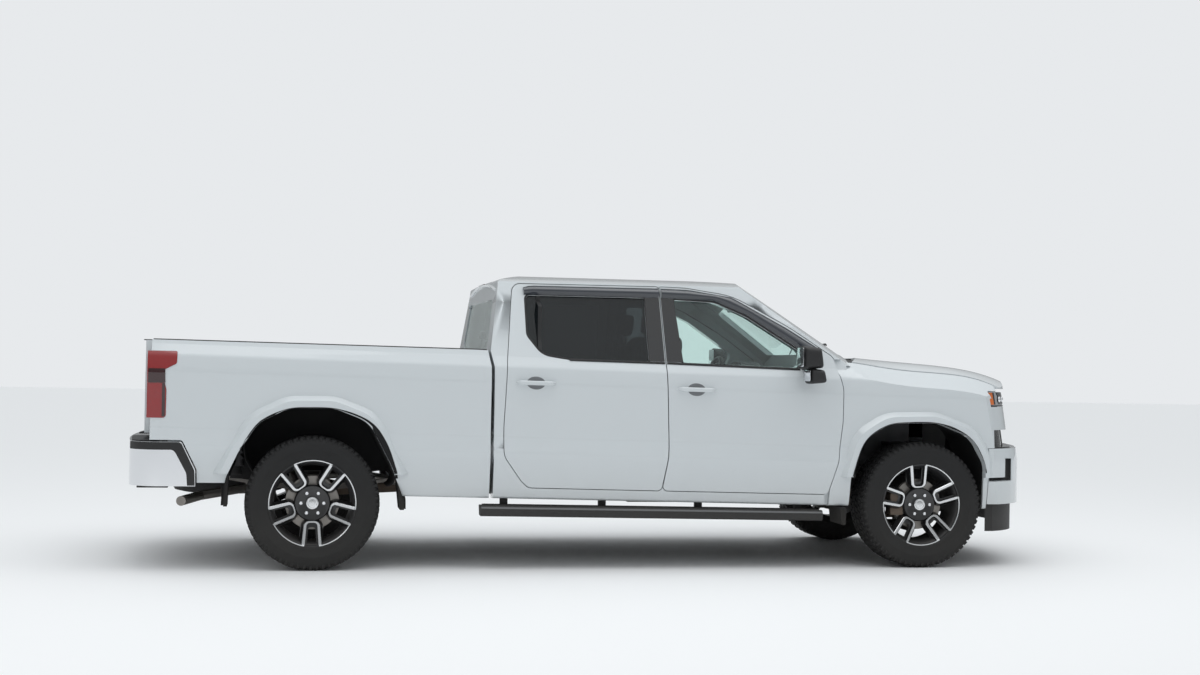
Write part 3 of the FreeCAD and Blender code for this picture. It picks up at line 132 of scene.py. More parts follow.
class Nodes:
    """Short way to place and join nodes in one tree."""

    def __init__(self, tree: bpy.types.NodeTree) -> None:
        """Start with an existing tree.

        Args:
            tree: the node tree to add to.
        """
        self.tree = tree

    def feed(self, socket: bpy.types.NodeSocket, value: object) -> None:
        """Link or set one input.

        Args:
            socket: the input.
            value: an output socket to link, or a plain value.
        """
        if isinstance(value, bpy.types.NodeSocket):
            self.tree.links.new(value, socket)
        else:
            socket.default_value = value

    def add(self, kind: str, settings: dict | None = None, **inputs: object) -> bpy.types.Node:
        """Add one node.

        Args:
            kind: type name of the node.
            settings: plain attributes to set on it.
            inputs: values or sockets, by input name with _ for a space, or by i and a number.

        Returns:
            The new node.
        """
        node = self.tree.nodes.new(kind)
        for key, value in (settings or {}).items():
            setattr(node, key, value)
        for key, value in inputs.items():
            numbered = key[0] == "i" and key[1:].isdigit()
            self.feed(node.inputs[int(key[1:]) if numbered else key.replace("_", " ")], value)
        return node

    def math(self, operation: str, first: object, second: object = 0.0) -> bpy.types.NodeSocket:
        """Add a Math node.

        Args:
            operation: its operation.
            first: first value or socket.
            second: second value or socket.

        Returns:
            Its output socket.
        """
        return self.add("ShaderNodeMath", {"operation": operation}, i0=first, i1=second).outputs[0]

    def blend(self, factor: object, first: object, second: object) -> bpy.types.NodeSocket:
        """Add a colour mix.

        Args:
            factor: share of the second colour.
            first: first colour or socket.
            second: second colour or socket.

        Returns:
            The mixed colour's socket.
        """
        return self.add("ShaderNodeMix", {"data_type": "RGBA"}, i0=factor, i6=first, i7=second).outputs[2]


def shader_group(name: str, inputs: Sequence[tuple], outputs: Sequence[tuple]) -> tuple:
    """Start a shader node group.

    Args:
        name: name of the group.
        inputs: (name, socket type, default) of each input.
        outputs: (name, socket type) of each output.

    Returns:
        The group, its input node and its output node.
    """
    group = bpy.data.node_groups.new(name, "ShaderNodeTree")
    for label, kind, default in inputs:
        socket = group.interface.new_socket(label, in_out="INPUT", socket_type=kind)
        socket.default_value = default
    for label, kind in outputs:
        group.interface.new_socket(label, in_out="OUTPUT", socket_type=kind)
    return group, group.nodes.new("NodeGroupInput"), group.nodes.new("NodeGroupOutput")


def relief_group() -> bpy.types.NodeTree:
    """Build the group that gives fine relief and patchy roughness.

    Returns:
        The group "Relief".
    """
    group, source, sink = shader_group(
        "Relief",
        [("Fine Scale", "NodeSocketFloat", 900.0), ("Patch Scale", "NodeSocketFloat", 6.0),
         ("Roughness", "NodeSocketFloat", 0.4), ("Variation", "NodeSocketFloat", 0.1)],
        [("Height", "NodeSocketFloat"), ("Roughness", "NodeSocketFloat")])
    nodes = Nodes(group)
    place = nodes.add("ShaderNodeTexCoord").outputs["Object"]
    fine = nodes.add("ShaderNodeTexNoise", Vector=place, Scale=source.outputs["Fine Scale"], Detail=3.0)
    patch = nodes.add("ShaderNodeTexNoise", Vector=place, Scale=source.outputs["Patch Scale"], Detail=4.0)
    shift = nodes.math("MULTIPLY", nodes.math("SUBTRACT", patch.outputs[0], 0.5), source.outputs["Variation"])
    rough = nodes.add("ShaderNodeMath", {"operation": "ADD", "use_clamp": True},
                      i0=shift, i1=source.outputs["Roughness"])
    group.links.new(fine.outputs[0], sink.inputs["Height"])
    group.links.new(rough.outputs[0], sink.inputs["Roughness"])
    return group


def dust_group() -> bpy.types.NodeTree:
    """Build the group that lays road dust on the lower parts of a surface.

    Returns:
        The group "Road Dust".
    """
    group, source, sink = shader_group(
        "Road Dust",
        [("Color", "NodeSocketColor", (0.8, 0.8, 0.8, 1)), ("Dust", "NodeSocketColor", (0.30, 0.27, 0.22, 1)),
         ("Amount", "NodeSocketFloat", 0.3), ("Level", "NodeSocketFloat", 0.7)],
        [("Color", "NodeSocketColor"), ("Mask", "NodeSocketFloat")])
    nodes = Nodes(group)
    place = nodes.add("ShaderNodeTexCoord").outputs["Object"]
    height = nodes.add("ShaderNodeSeparateXYZ", Vector=place).outputs["Z"]
    low = nodes.add("ShaderNodeMapRange", {"interpolation_type": "SMOOTHSTEP"}, Value=height,
                    From_Min=source.outputs["Level"], From_Max=0.1, To_Min=0.0, To_Max=1.0).outputs[0]
    cloud = nodes.add("ShaderNodeTexNoise", Vector=place, Scale=3.5, Detail=8.0, Roughness=0.65).outputs[0]
    speck = nodes.add("ShaderNodeTexNoise", Vector=place, Scale=90.0, Detail=3.0).outputs[0]
    mix = nodes.math("MULTIPLY", nodes.math("ADD", cloud, nodes.math("MULTIPLY", speck, 0.5)), low)
    mask = nodes.add("ShaderNodeMath", {"operation": "MULTIPLY", "use_clamp": True},
                     i0=mix, i1=source.outputs["Amount"]).outputs[0]
    group.links.new(nodes.blend(mask, source.outputs["Color"], source.outputs["Dust"]), sink.inputs["Color"])
    group.links.new(mask, sink.inputs["Mask"])
    return group


def weave_group() -> bpy.types.NodeTree:
    """Build the group that gives woven cloth.

    Returns:
        The group "Weave".
    """
    group, source, sink = shader_group(
        "Weave",
        [("Color", "NodeSocketColor", (0.1, 0.1, 0.1, 1)), ("Thread", "NodeSocketColor", (0.2, 0.2, 0.2, 1)),
         ("Scale", "NodeSocketFloat", 400.0)],
        [("Color", "NodeSocketColor"), ("Height", "NodeSocketFloat")])
    nodes = Nodes(group)
    place = nodes.add("ShaderNodeTexCoord").outputs["Object"]
    bands = [nodes.add("ShaderNodeTexWave", {"bands_direction": axis}, Vector=place,
                       Scale=source.outputs["Scale"], Distortion=0.6).outputs[1] for axis in ("Y", "Z")]
    height = nodes.math("MULTIPLY", bands[0], bands[1])
    woven = nodes.blend(height, source.outputs["Color"], source.outputs["Thread"])
    group.links.new(woven, sink.inputs["Color"])
    group.links.new(height, sink.inputs["Height"])
    return group


class Groups:
    """The shader groups, each built once."""

    makers: dict[str, Callable[[], bpy.types.NodeTree]] = {
        "Relief": relief_group, "Road Dust": dust_group, "Weave": weave_group}

    @classmethod
    def place(cls, nodes: Nodes, name: str, **inputs: object) -> bpy.types.Node:
        """Place a group in a material.

        Args:
            nodes: the material's nodes.
            name: name of the group.
            inputs: values or sockets, by input name.

        Returns:
            The group node.
        """
        tree = bpy.data.node_groups.get(name) or cls.makers[name]()
        return nodes.add("ShaderNodeGroup", {"node_tree": tree}, **inputs)


# Values that all finishes have in common
COAT_ROUGHNESS = 0.04
GLASS_IOR = 1.45
PATCHINESS = 0.12
THREAD_GAIN = 1.9
THREAD_LIFT = 0.01
CAST_SHADE = 0.55
RELIEF_HEIGHT = 0.001


@dataclass(frozen=True)
class Finish:
    """One surface finish and the material made from it."""

    name: str
    colour: Colour
    slot: str
    rough: float = 0.45
    metal: float = 0.0
    coat: float = 0.0
    pattern: Pattern = Pattern.PLAIN
    relief: float = 0.02
    fine: float = 700.0
    dust: float = 0.25
    dust_level: float = 0.75
    clear: float = 0.0
    sheen: float = 0.0

    def material(self) -> bpy.types.Material:
        """Build the finish's material on first use.

        Returns:
            The material.
        """
        found = bpy.data.materials.get(self.name)
        if found:
            return found
        made = bpy.data.materials.new(self.name)
        made.use_nodes = True
        nodes = Nodes(made.node_tree)
        shader = made.node_tree.nodes["Principled BSDF"]
        plain = {"Metallic": self.metal, "Coat Weight": self.coat, "Coat Roughness": COAT_ROUGHNESS,
                 "Transmission Weight": self.clear, "Sheen Weight": self.sheen}
        if self.clear:
            plain |= {"Base Color": (*self.colour, 1), "Roughness": self.rough, "IOR": GLASS_IOR}
        for label, value in plain.items():
            shader.inputs[label].default_value = value
        if not self.clear:
            self.surface(nodes, shader)
        return made

    def surface(self, nodes: Nodes, shader: bpy.types.Node) -> None:
        """Add colour pattern, dust, patchy roughness and relief.

        Args:
            nodes: the material's nodes.
            shader: its shader.
        """
        base: object = (*self.colour, 1)
        relief = Groups.place(nodes, "Relief", Fine_Scale=self.fine, Roughness=self.rough,
                              Variation=PATCHINESS)
        height = relief.outputs["Height"]
        if self.pattern is Pattern.WEAVE:
            lighter = tuple(min(1.0, c * THREAD_GAIN + THREAD_LIFT) for c in self.colour)
            weave = Groups.place(nodes, "Weave", Color=base, Thread=(*lighter, 1), Scale=self.fine)
            base, height = weave.outputs["Color"], weave.outputs["Height"]
        if self.pattern is Pattern.CAST:
            place = nodes.add("ShaderNodeTexCoord").outputs["Object"]
            blotch = nodes.add("ShaderNodeTexNoise", Vector=place, Scale=14.0, Detail=6.0).outputs[0]
            base = nodes.blend(blotch, base, (*(c * CAST_SHADE for c in self.colour), 1))
        if self.dust:
            dust = Groups.place(nodes, "Road Dust", Color=base, Amount=self.dust, Level=self.dust_level)
            base = dust.outputs["Color"]
        nodes.feed(shader.inputs["Base Color"], base)
        nodes.feed(shader.inputs["Roughness"], relief.outputs["Roughness"])
        if self.relief:
            bump = nodes.add("ShaderNodeBump", Strength=self.relief, Distance=RELIEF_HEIGHT, Height=height)
            nodes.feed(shader.inputs["Normal"], bump.outputs[0])


WHITE = Finish("white paint", (0.62, 0.66, 0.68), "white_paint", 0.32, coat=1.0, relief=0.015, fine=300,
               dust=0.35)
CHASSIS = Finish("chassis black", (0.03, 0.03, 0.032), "frame_black", 0.55, pattern=Pattern.CAST, relief=0.2)
GRAINED = Finish("grained black plastic", (0.014, 0.014, 0.015), "trim_black", 0.55, relief=0.4, dust=0.08)
GLOSS_BLACK = Finish("gloss black plastic", (0.012, 0.012, 0.013), "gloss_black", 0.16, coat=0.6, dust=0.1)
SEAL = Finish("black rubber seal", (0.015, 0.015, 0.016), "trim_black", 0.62, dust=0.1)
TYRE = Finish("tyre rubber", (0.0065, 0.0065, 0.007), "tyre_rubber", 0.72, relief=0.2, fine=300, dust=0.04)
MACHINED = Finish("machined alloy", (0.72, 0.73, 0.74), "wheel_alloy", 0.24, metal=1.0, coat=0.5, dust=0.08)
POCKET = Finish("black wheel paint", (0.008, 0.008, 0.009), "wheel_alloy", 0.35, coat=0.5, dust=0.03)
BARREL = Finish("dark wheel barrel", (0.03, 0.03, 0.032), "wheel_alloy", 0.5, metal=0.5, dust=0.08)
CHROME = Finish("bright chrome", (0.80, 0.81, 0.83), "chrome_trim", 0.09, metal=1.0, dust=0.1)
STEEL = Finish("bare steel", (0.34, 0.32, 0.30), "chassis_steel", 0.42, metal=0.85, pattern=Pattern.CAST,
               relief=0.2)
RUSTY = Finish("dull cast iron", (0.17, 0.125, 0.095), "cast_iron", 0.75, metal=0.3, pattern=Pattern.CAST,
               relief=0.5)
ENGINE = Finish("engine grey", (0.22, 0.22, 0.23), "engine_grey", 0.6, metal=0.4, pattern=Pattern.CAST,
                relief=0.5)
CABIN = Finish("cabin plastic", (0.045, 0.045, 0.05), "cabin_plastic", 0.6, relief=0.3, dust=0.0)
SATIN = Finish("satin silver trim", (0.42, 0.43, 0.44), "cabin_plastic", 0.35, metal=0.8, dust=0.0)
CLOTH = Finish("seat cloth", (0.05, 0.05, 0.055), "seat_cloth", 0.9, pattern=Pattern.WEAVE, relief=0.6,
               fine=260, dust=0.0, sheen=0.3)
LEATHER = Finish("wheel leather", (0.03, 0.03, 0.03), "cabin_plastic", 0.5, relief=0.4, dust=0.0)
CLEAR_GLASS = Finish("clear glass", (0.80, 0.93, 0.90), "glass_clear", 0.0, clear=1.0)
DARK_GLASS = Finish("dark glass", (0.05, 0.06, 0.065), "glass_dark", 0.0, clear=0.85)
SMOKED = Finish("smoked plastic", (0.03, 0.035, 0.045), "gloss_black", 0.08, coat=0.8, dust=0.05)
REFLECTOR = Finish("lamp reflector", (0.82, 0.83, 0.85), "lamp_lens", 0.12, metal=1.0, dust=0.0)
RED_LENS = Finish("red lens", (0.26, 0.006, 0.007), "red_lens", 0.10, coat=1.0, dust=0.1)
DARK_RED = Finish("dark red lens", (0.030, 0.004, 0.005), "red_lens", 0.10, coat=1.0, dust=0.1)
AMBER = Finish("amber lens", (0.75, 0.16, 0.01), "lamp_lens", 0.12, coat=1.0, dust=0.0)
FELT = Finish("black felt", (0.008, 0.008, 0.009), "trim_black", 0.95, relief=0.3, dust=0.12)
# painted shade: grey colour for the handle cup, which is white paint lying in shade
CUP_PAINTED_SHADE = Finish("shaded handle cup", (0.17, 0.18, 0.19), "trim_black", 0.5, dust=0.0)
EDGE = Finish("dull silver edge", (0.16, 0.165, 0.17), "trim_black", 0.4, metal=0.4, dust=0.1)
PLATE = Finish("blank plate", (0.70, 0.71, 0.72), "chrome_trim", 0.35, dust=0.3)
PALE_FLOOR = Finish("pale floor", (0.90, 0.905, 0.91), "", 0.75, relief=0.05, fine=40, dust=0.0)


# Shapes

class Shape:
    """A mesh under construction."""

    def __init__(self) -> None:
        """Start empty."""
        self.bm = bmesh.new()

    def skin(self, rings: Sequence[Sequence[Vector]], closed: bool = True, caps: bool = True,
             looped: bool = False) -> "Shape":
        """Join rings of points with quads.

        Args:
            rings: rings with as many points each.
            closed: whether each ring is a closed loop.
            caps: whether the first and last closed ring get a face.
            looped: whether the last ring joins the first.

        Returns:
            This shape.
        """
        made = [[self.bm.verts.new(p) for p in points] for points in rings]
        pairs = list(zip(made, made[1:]))
        if looped:
            pairs.append((made[-1], made[0]))
        for low, high in pairs:
            count = len(low)
            for i in range(count if closed else count - 1):
                j = (i + 1) % count
                self.bm.faces.new((low[i], low[j], high[j], high[i]))
        if caps and closed and not looped:
            self.bm.faces.new(made[0][::-1])
            self.bm.faces.new(made[-1])
        return self

    def sheet(self, rings: Sequence[Sequence[Vector]]) -> "Shape":
        """Join open lines of points with quads and return this shape."""
        return self.skin(rings, closed=False, caps=False)

    def lathe(self, profile: Sequence[Point2], steps: int = 96, looped: bool = False) -> "Shape":
        """Turn a profile about the Y axis.

        Args:
            profile: points as distance along Y and radius.
            steps: number of segments round the axis.
            looped: whether the profile is a closed ring.

        Returns:
            This shape.
        """
        return self.skin([[Vector((radius * math.sin(a), out, radius * math.cos(a))) for a in angles(steps)]
                          for out, radius in profile], looped=looped)

    def prism(self, outline: Sequence[Vector], along: Vector) -> "Shape":
        """Sweep a closed outline straight.

        Args:
            outline: its points.
            along: sweep vector.

        Returns:
            This shape.
        """
        return self.skin([outline, [p + along for p in outline]])

    def tube(self, points: Sequence[Vector], radius: float, sides: int = 12, looped: bool = False) -> "Shape":
        """Sweep a round section along points.

        Args:
            points: the centre line.
            radius: radius of the tube.
            sides: sides of its section.
            looped: whether the centre line is a closed ring.

        Returns:
            This shape.
        """
        rings = []
        count = len(points)
        side = Vector((0, 0, 1))
        for i, point in enumerate(points):
            before = points[(i - 1) % count] if looped or i else point
            after = points[(i + 1) % count] if looped or i < count - 1 else point
            along = (after - before).normalized()
            if abs(along.dot(side)) > 0.95:
                side = Vector((0, 1, 0)) if abs(along.y) < 0.9 else Vector((1, 0, 0))
            first = (side - along * side.dot(along)).normalized()
            second = along.cross(first)
            side = first
            rings.append([point + (first * math.cos(a) + second * math.sin(a)) * radius
                          for a in angles(sides)])
        return self.skin(rings, looped=looped)

    def box(self, first: Sequence[float], second: Sequence[float]) -> "Shape":
        """Add a box between two opposite corners.

        Args:
            first: one corner.
            second: the corner opposite.

        Returns:
            This shape.
        """
        a, b = (Vector([choose(pair) for pair in zip(first, second)]) for choose in (min, max))
        outline = [Vector((x, y, a.z)) for x, y in ((a.x, a.y), (b.x, a.y), (b.x, b.y), (a.x, b.y))]
        return self.prism(outline, Vector((0, 0, b.z - a.z)))

    def add(self, other: "Shape", turn: Matrix) -> None:
        """Add a turned copy of another shape.

        Args:
            other: the shape to copy.
            turn: transform of the copy.
        """
        copy = other.bm.copy()
        copy.transform(turn)
        mesh = bpy.data.meshes.new("copy")
        copy.to_mesh(mesh)
        copy.free()
        self.bm.from_mesh(mesh)
        bpy.data.meshes.remove(mesh)

    def moved(self, matrix: Matrix) -> "Shape":
        """Transform the whole shape and return it."""
        self.bm.transform(matrix)
        return self

    def object(self, name: str, finish: Finish, crease: float = 35.0, bevel: float = 0.0, levels: int = 0,
               wall: float = 0.0) -> bpy.types.Object:
        """Turn the shape into an object with plain geometry.

        Args:
            name: name of the object.
            finish: its finish.
            crease: angle in degrees above which an edge stays sharp.
            bevel: width of rounded edges, or 0.
            levels: subdivision levels, or 0.
            wall: thickness given to an open surface, or 0.

        Returns:
            The object, with its modifiers applied.
        """
        bmesh.ops.remove_doubles(self.bm, verts=self.bm.verts, dist=1e-6)
        bmesh.ops.recalc_face_normals(self.bm, faces=self.bm.faces)
        mesh = bpy.data.meshes.new(name)
        self.bm.to_mesh(mesh)
        self.bm.free()
        made = bpy.data.objects.new(name, mesh)
        bpy.context.scene.collection.objects.link(made)
        mesh.materials.append(finish.material())
        if wall:
            solid = made.modifiers.new("wall", "SOLIDIFY")
            solid.thickness, solid.offset = wall, 1.0
        if bevel:
            edge = made.modifiers.new("edges", "BEVEL")
            edge.width, edge.segments = bevel, 2
            edge.limit_method, edge.angle_limit = "ANGLE", math.radians(30)
        if levels:
            fine = made.modifiers.new("fine", "SUBSURF")
            fine.levels = fine.render_levels = levels
        bake(made, crease)
        return made

    def fitted(self, name: str, finish: Finish, body: str = "root", slot: Finish | None = None,
               **looks: float) -> bpy.types.Object:
        """Turn the shape into a finished piece of the truck.

        Args:
            name: name of the piece.
            finish: its finish.
            body: the body that it rides on.
            slot: not used.
            looks: crease, bevel, levels and wall as in object().

        Returns:
            The piece.
        """
        return fit(self.object(name, finish, **looks), body)


def bake(made: bpy.types.Object, crease: float) -> None:
    """Apply every modifier of an object to its mesh and shade it smooth.

    Args:
        made: the object.
        crease: angle in degrees above which an edge stays sharp.
    """
    if made.modifiers:
        graph = bpy.context.evaluated_depsgraph_get()
        mesh = bpy.data.meshes.new_from_object(made.evaluated_get(graph), depsgraph=graph)
        made.modifiers.clear()
        made.data = mesh
    made.data.shade_smooth()
    made.data.set_sharp_from_angle(angle=math.radians(crease))


def fit(made: bpy.types.Object, body: str) -> bpy.types.Object:
    """Attach a finished piece to its body and log it.

    Args:
        made: the piece.
        body: the body that it rides on.

    Returns:
        The piece.
    """
    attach(made, body)
    log.info("fitted %s on %s", made.name, body)
    return made


def blocks(rows: Sequence[tuple], body: str = "root") -> None:
    """Fit plain blocks.

    Args:
        rows: name, two opposite corners, finish and width of rounded edges of each.
        body: the body that they ride on.
    """
    for name, first, second, finish, bevel in rows:
        Shape().box(first, second).fitted(name, finish, body, bevel=bevel)


def arc_points(points: Sequence[Corner], steps: int = 6) -> list[Point2]:
    """Round the corners of a closed outline.

    Args:
        points: corners as (u, v, radius).
        steps: segments in each rounded corner.

    Returns:
        The rounded outline.
    """
    made: list[Point2] = []
    count = len(points)
    for i, (u, v, radius) in enumerate(points):
        corner = Vector((u, v))
        before = (Vector(points[i - 1][:2]) - corner).normalized()
        after = (Vector(points[(i + 1) % count][:2]) - corner).normalized()
        half = before.angle(after) / 2
        if radius <= 0 or half > math.radians(89):
            made.append((u, v))
            continue
        centre = corner + (before + after).normalized() * (radius / math.sin(half))
        start = corner + before * (radius / math.tan(half))
        end = corner + after * (radius / math.tan(half))
        a, b = start - centre, end - centre
        turn = a.angle_signed(b)
        for k in range(steps + 1):
            angle = -turn * k / steps
            spot = centre + Matrix.Rotation(angle, 2) @ a
            made.append((spot.x, spot.y))
    return made


def copies_tree(way: Copies) -> bpy.types.NodeTree:
    """Build the node tree that repeats an object round an axle or along a line.

    Args:
        way: which of the two.

    Returns:
        The tree.
    """
    tree = bpy.data.node_groups.new(way.value, "GeometryNodeTree")
    sizes = {Copies.RING: (("Radius", "NodeSocketFloat"), ("Phase", "NodeSocketFloat")),
             Copies.ROW: (("Start", "NodeSocketVector"), ("Step", "NodeSocketVector"))}
    for label, kind in (("Geometry", "NodeSocketGeometry"), ("Source", "NodeSocketObject"),
                        ("Count", "NodeSocketInt"), *sizes[way], ("Material", "NodeSocketMaterial")):
        tree.interface.new_socket(label, in_out="INPUT", socket_type=kind)
    tree.interface.new_socket("Geometry", in_out="OUTPUT", socket_type="NodeSocketGeometry")
    nodes = Nodes(tree)
    source = nodes.add("NodeGroupInput")
    count = source.outputs["Count"]
    item = nodes.add("GeometryNodeObjectInfo", Object=source.outputs["Source"])
    copies = nodes.add("GeometryNodeInstanceOnPoints", Instance=item.outputs["Geometry"])
    if way is Copies.RING:
        share = nodes.math("DIVIDE", nodes.add("GeometryNodeInputIndex").outputs[0], count)
        angle = nodes.math("ADD", nodes.math("MULTIPLY", share, 2 * math.pi), source.outputs["Phase"])
        across = nodes.math("MULTIPLY", nodes.math("SINE", angle), source.outputs["Radius"])
        up = nodes.math("MULTIPLY", nodes.math("COSINE", angle), source.outputs["Radius"])
        spot = nodes.add("ShaderNodeCombineXYZ", X=across, Z=up).outputs[0]
        points = nodes.add("GeometryNodePoints", Count=count).outputs[0]
        points = nodes.add("GeometryNodeSetPosition", Geometry=points, Position=spot).outputs[0]
        nodes.feed(copies.inputs["Rotation"], nodes.add("ShaderNodeCombineXYZ", Y=angle).outputs[0])
    else:
        points = nodes.add("GeometryNodeMeshLine", {"mode": "OFFSET"}, Count=count,
                           Start_Location=source.outputs["Start"], Offset=source.outputs["Step"]).outputs[0]
    nodes.feed(copies.inputs["Points"], points)
    solid = nodes.add("GeometryNodeRealizeInstances", Geometry=copies.outputs[0])
    dressed = nodes.add("GeometryNodeSetMaterial", Geometry=solid.outputs[0],
                        Material=source.outputs["Material"])
    nodes.feed(nodes.add("NodeGroupOutput").inputs[0], dressed.outputs[0])
    return tree


def repeated(name: str, way: Copies, source: bpy.types.Object, finish: Finish, body: str = "root",
             place: Matrix | None = None, **values: object) -> None:
    """Repeat an object by a node tree and fit the result as one plain mesh.

    Args:
        name: name of the new piece.
        way: how the copies lie.
        source: the object to repeat, deleted afterwards.
        finish: finish of the copies.
        body: the body that they ride on.
        place: transform from the copies' axes to the truck, if any.
        values: the tree's other inputs by name.
    """
    tree = bpy.data.node_groups.get(way.value) or copies_tree(way)
    holder = bpy.data.objects.new(name, bpy.data.meshes.new(name))
    bpy.context.scene.collection.objects.link(holder)
    modifier = holder.modifiers.new("copies", "NODES")
    modifier.node_group = tree
    settings = {"Source": source, "Material": finish.material(), **values}
    for item in tree.interface.items_tree:
        if item.in_out == "INPUT" and item.name in settings:
            modifier[item.identifier] = settings[item.name]
    bake(holder, 35)
    bpy.data.objects.remove(source)
    if place is not None:
        holder.data.transform(place)
    fit(holder, body)


class Skin:
    """The truck's own outer surface, found by looking at it from one side."""

    nudges: tuple[float, ...] = (0.0, 0.004, 0.008, 0.014, 0.022, 0.034, 0.05)
    reach: float = 1.5
    sky: float = 3.0
    least_y: float = 0.55
    spare_y: float = 0.9

    def __init__(self, frame: dict, names: Sequence[str]) -> None:
        """Collect the nodes to look at.

        Args:
            frame: the loaded frame.
            names: names of the nodes.
        """
        verts: list[Vector] = []
        faces: list[tuple[int, ...]] = []
        for name in names:
            mesh = frame["nodes"][name].data
            start = len(verts)
            verts += [v.co.copy() for v in mesh.vertices]
            faces += [tuple(start + i for i in p.vertices) for p in mesh.polygons]
        self.tree = BVHTree.FromPolygons(verts, faces)

    def look(self, start: Sequence[float], along: Sequence[float]) -> tuple[Vector, Vector] | None:
        """Find the first surface along a line of sight.

        Args:
            start: where to look from.
            along: direction of sight.

        Returns:
            The point and its outward normal, or None.
        """
        ahead = Vector(along)
        spot, normal, _, _ = self.tree.ray_cast(Vector(start), ahead)
        if spot is None:
            return None
        return spot, (normal if normal.dot(ahead) < 0 else -normal)

    def top(self, x: float, y: float) -> Vector | None:
        """Return the highest point over a place on the ground, or None."""
        seen = self.look((x, y, self.sky), (0, 0, -1))
        return seen[0] if seen else None

    def side(self, side: Side, x: float, z: float, lift: float = 0.0) -> Vector:
        """Find a point on the side of the truck.

        Args:
            side: side to look at.
            x: place along the truck.
            z: height.
            lift: how far to stand off the surface.

        Returns:
            The point, taken from close by where the line of sight meets a gap.
        """
        for near in self.nudges:
            for dx, dz in ((0, 0), (near, 0), (-near, 0), (0, near), (0, -near)):
                seen = self.look((x + dx, side.value * self.reach, z + dz), (0, -side.value, 0))
                if seen is not None and seen[0].y * side.value > self.least_y:
                    return seen[0] + seen[1] * lift - Vector((dx, 0, dz))
        return Vector((x, side.value * self.spare_y, z))


def strip(skin: Skin, side: Side, name: str, finish: Finish, low: Sequence[Point2], high: Sequence[Point2],
          rows: int, lift: float | Callable[[float], float], body: str = "root", **looks: float) -> None:
    """Lay a thin strip on the side of the truck between two curves.

    Args:
        skin: the surface to lie on.
        side: side of the truck.
        name: name of the piece, without the side.
        finish: its finish.
        low: (x, z) points of the lower curve.
        high: (x, z) points of the upper curve, as many.
        rows: quads between the curves.
        lift: how far it stands off, as a number or by the share from low to high.
        body: the body that it rides on.
        looks: crease and wall as in Shape.object().
    """
    lines = []
    for share in spread(0.0, 1.0, rows):
        stand = lift(share) if callable(lift) else lift
        lines.append([skin.side(side, a[0] + (b[0] - a[0]) * share, a[1] + (b[1] - a[1]) * share, stand)
                      for a, b in zip(low, high)])
    Shape().sheet(lines).fitted(f"{name}_{side.word}", finish, body, **looks)


def run(points: Sequence[Point2], steps: int) -> list[Point2]:
    """Divide a line through points evenly.

    Args:
        points: corners of the line.
        steps: number of parts.

    Returns:
        The points along it.
    """
    lengths = [math.dist(a, b) for a, b in zip(points, points[1:])]
    total = sum(lengths)
    made = []
    for k in range(steps + 1):
        left = total * k / steps
        for i, length in enumerate(lengths):
            if left <= length or i == len(lengths) - 1:
                share = min(left / length, 1.0)
                a, b = points[i], points[i + 1]
                made.append((a[0] + (b[0] - a[0]) * share, a[1] + (b[1] - a[1]) * share))
                break
            left -= length
    return made


# Studio

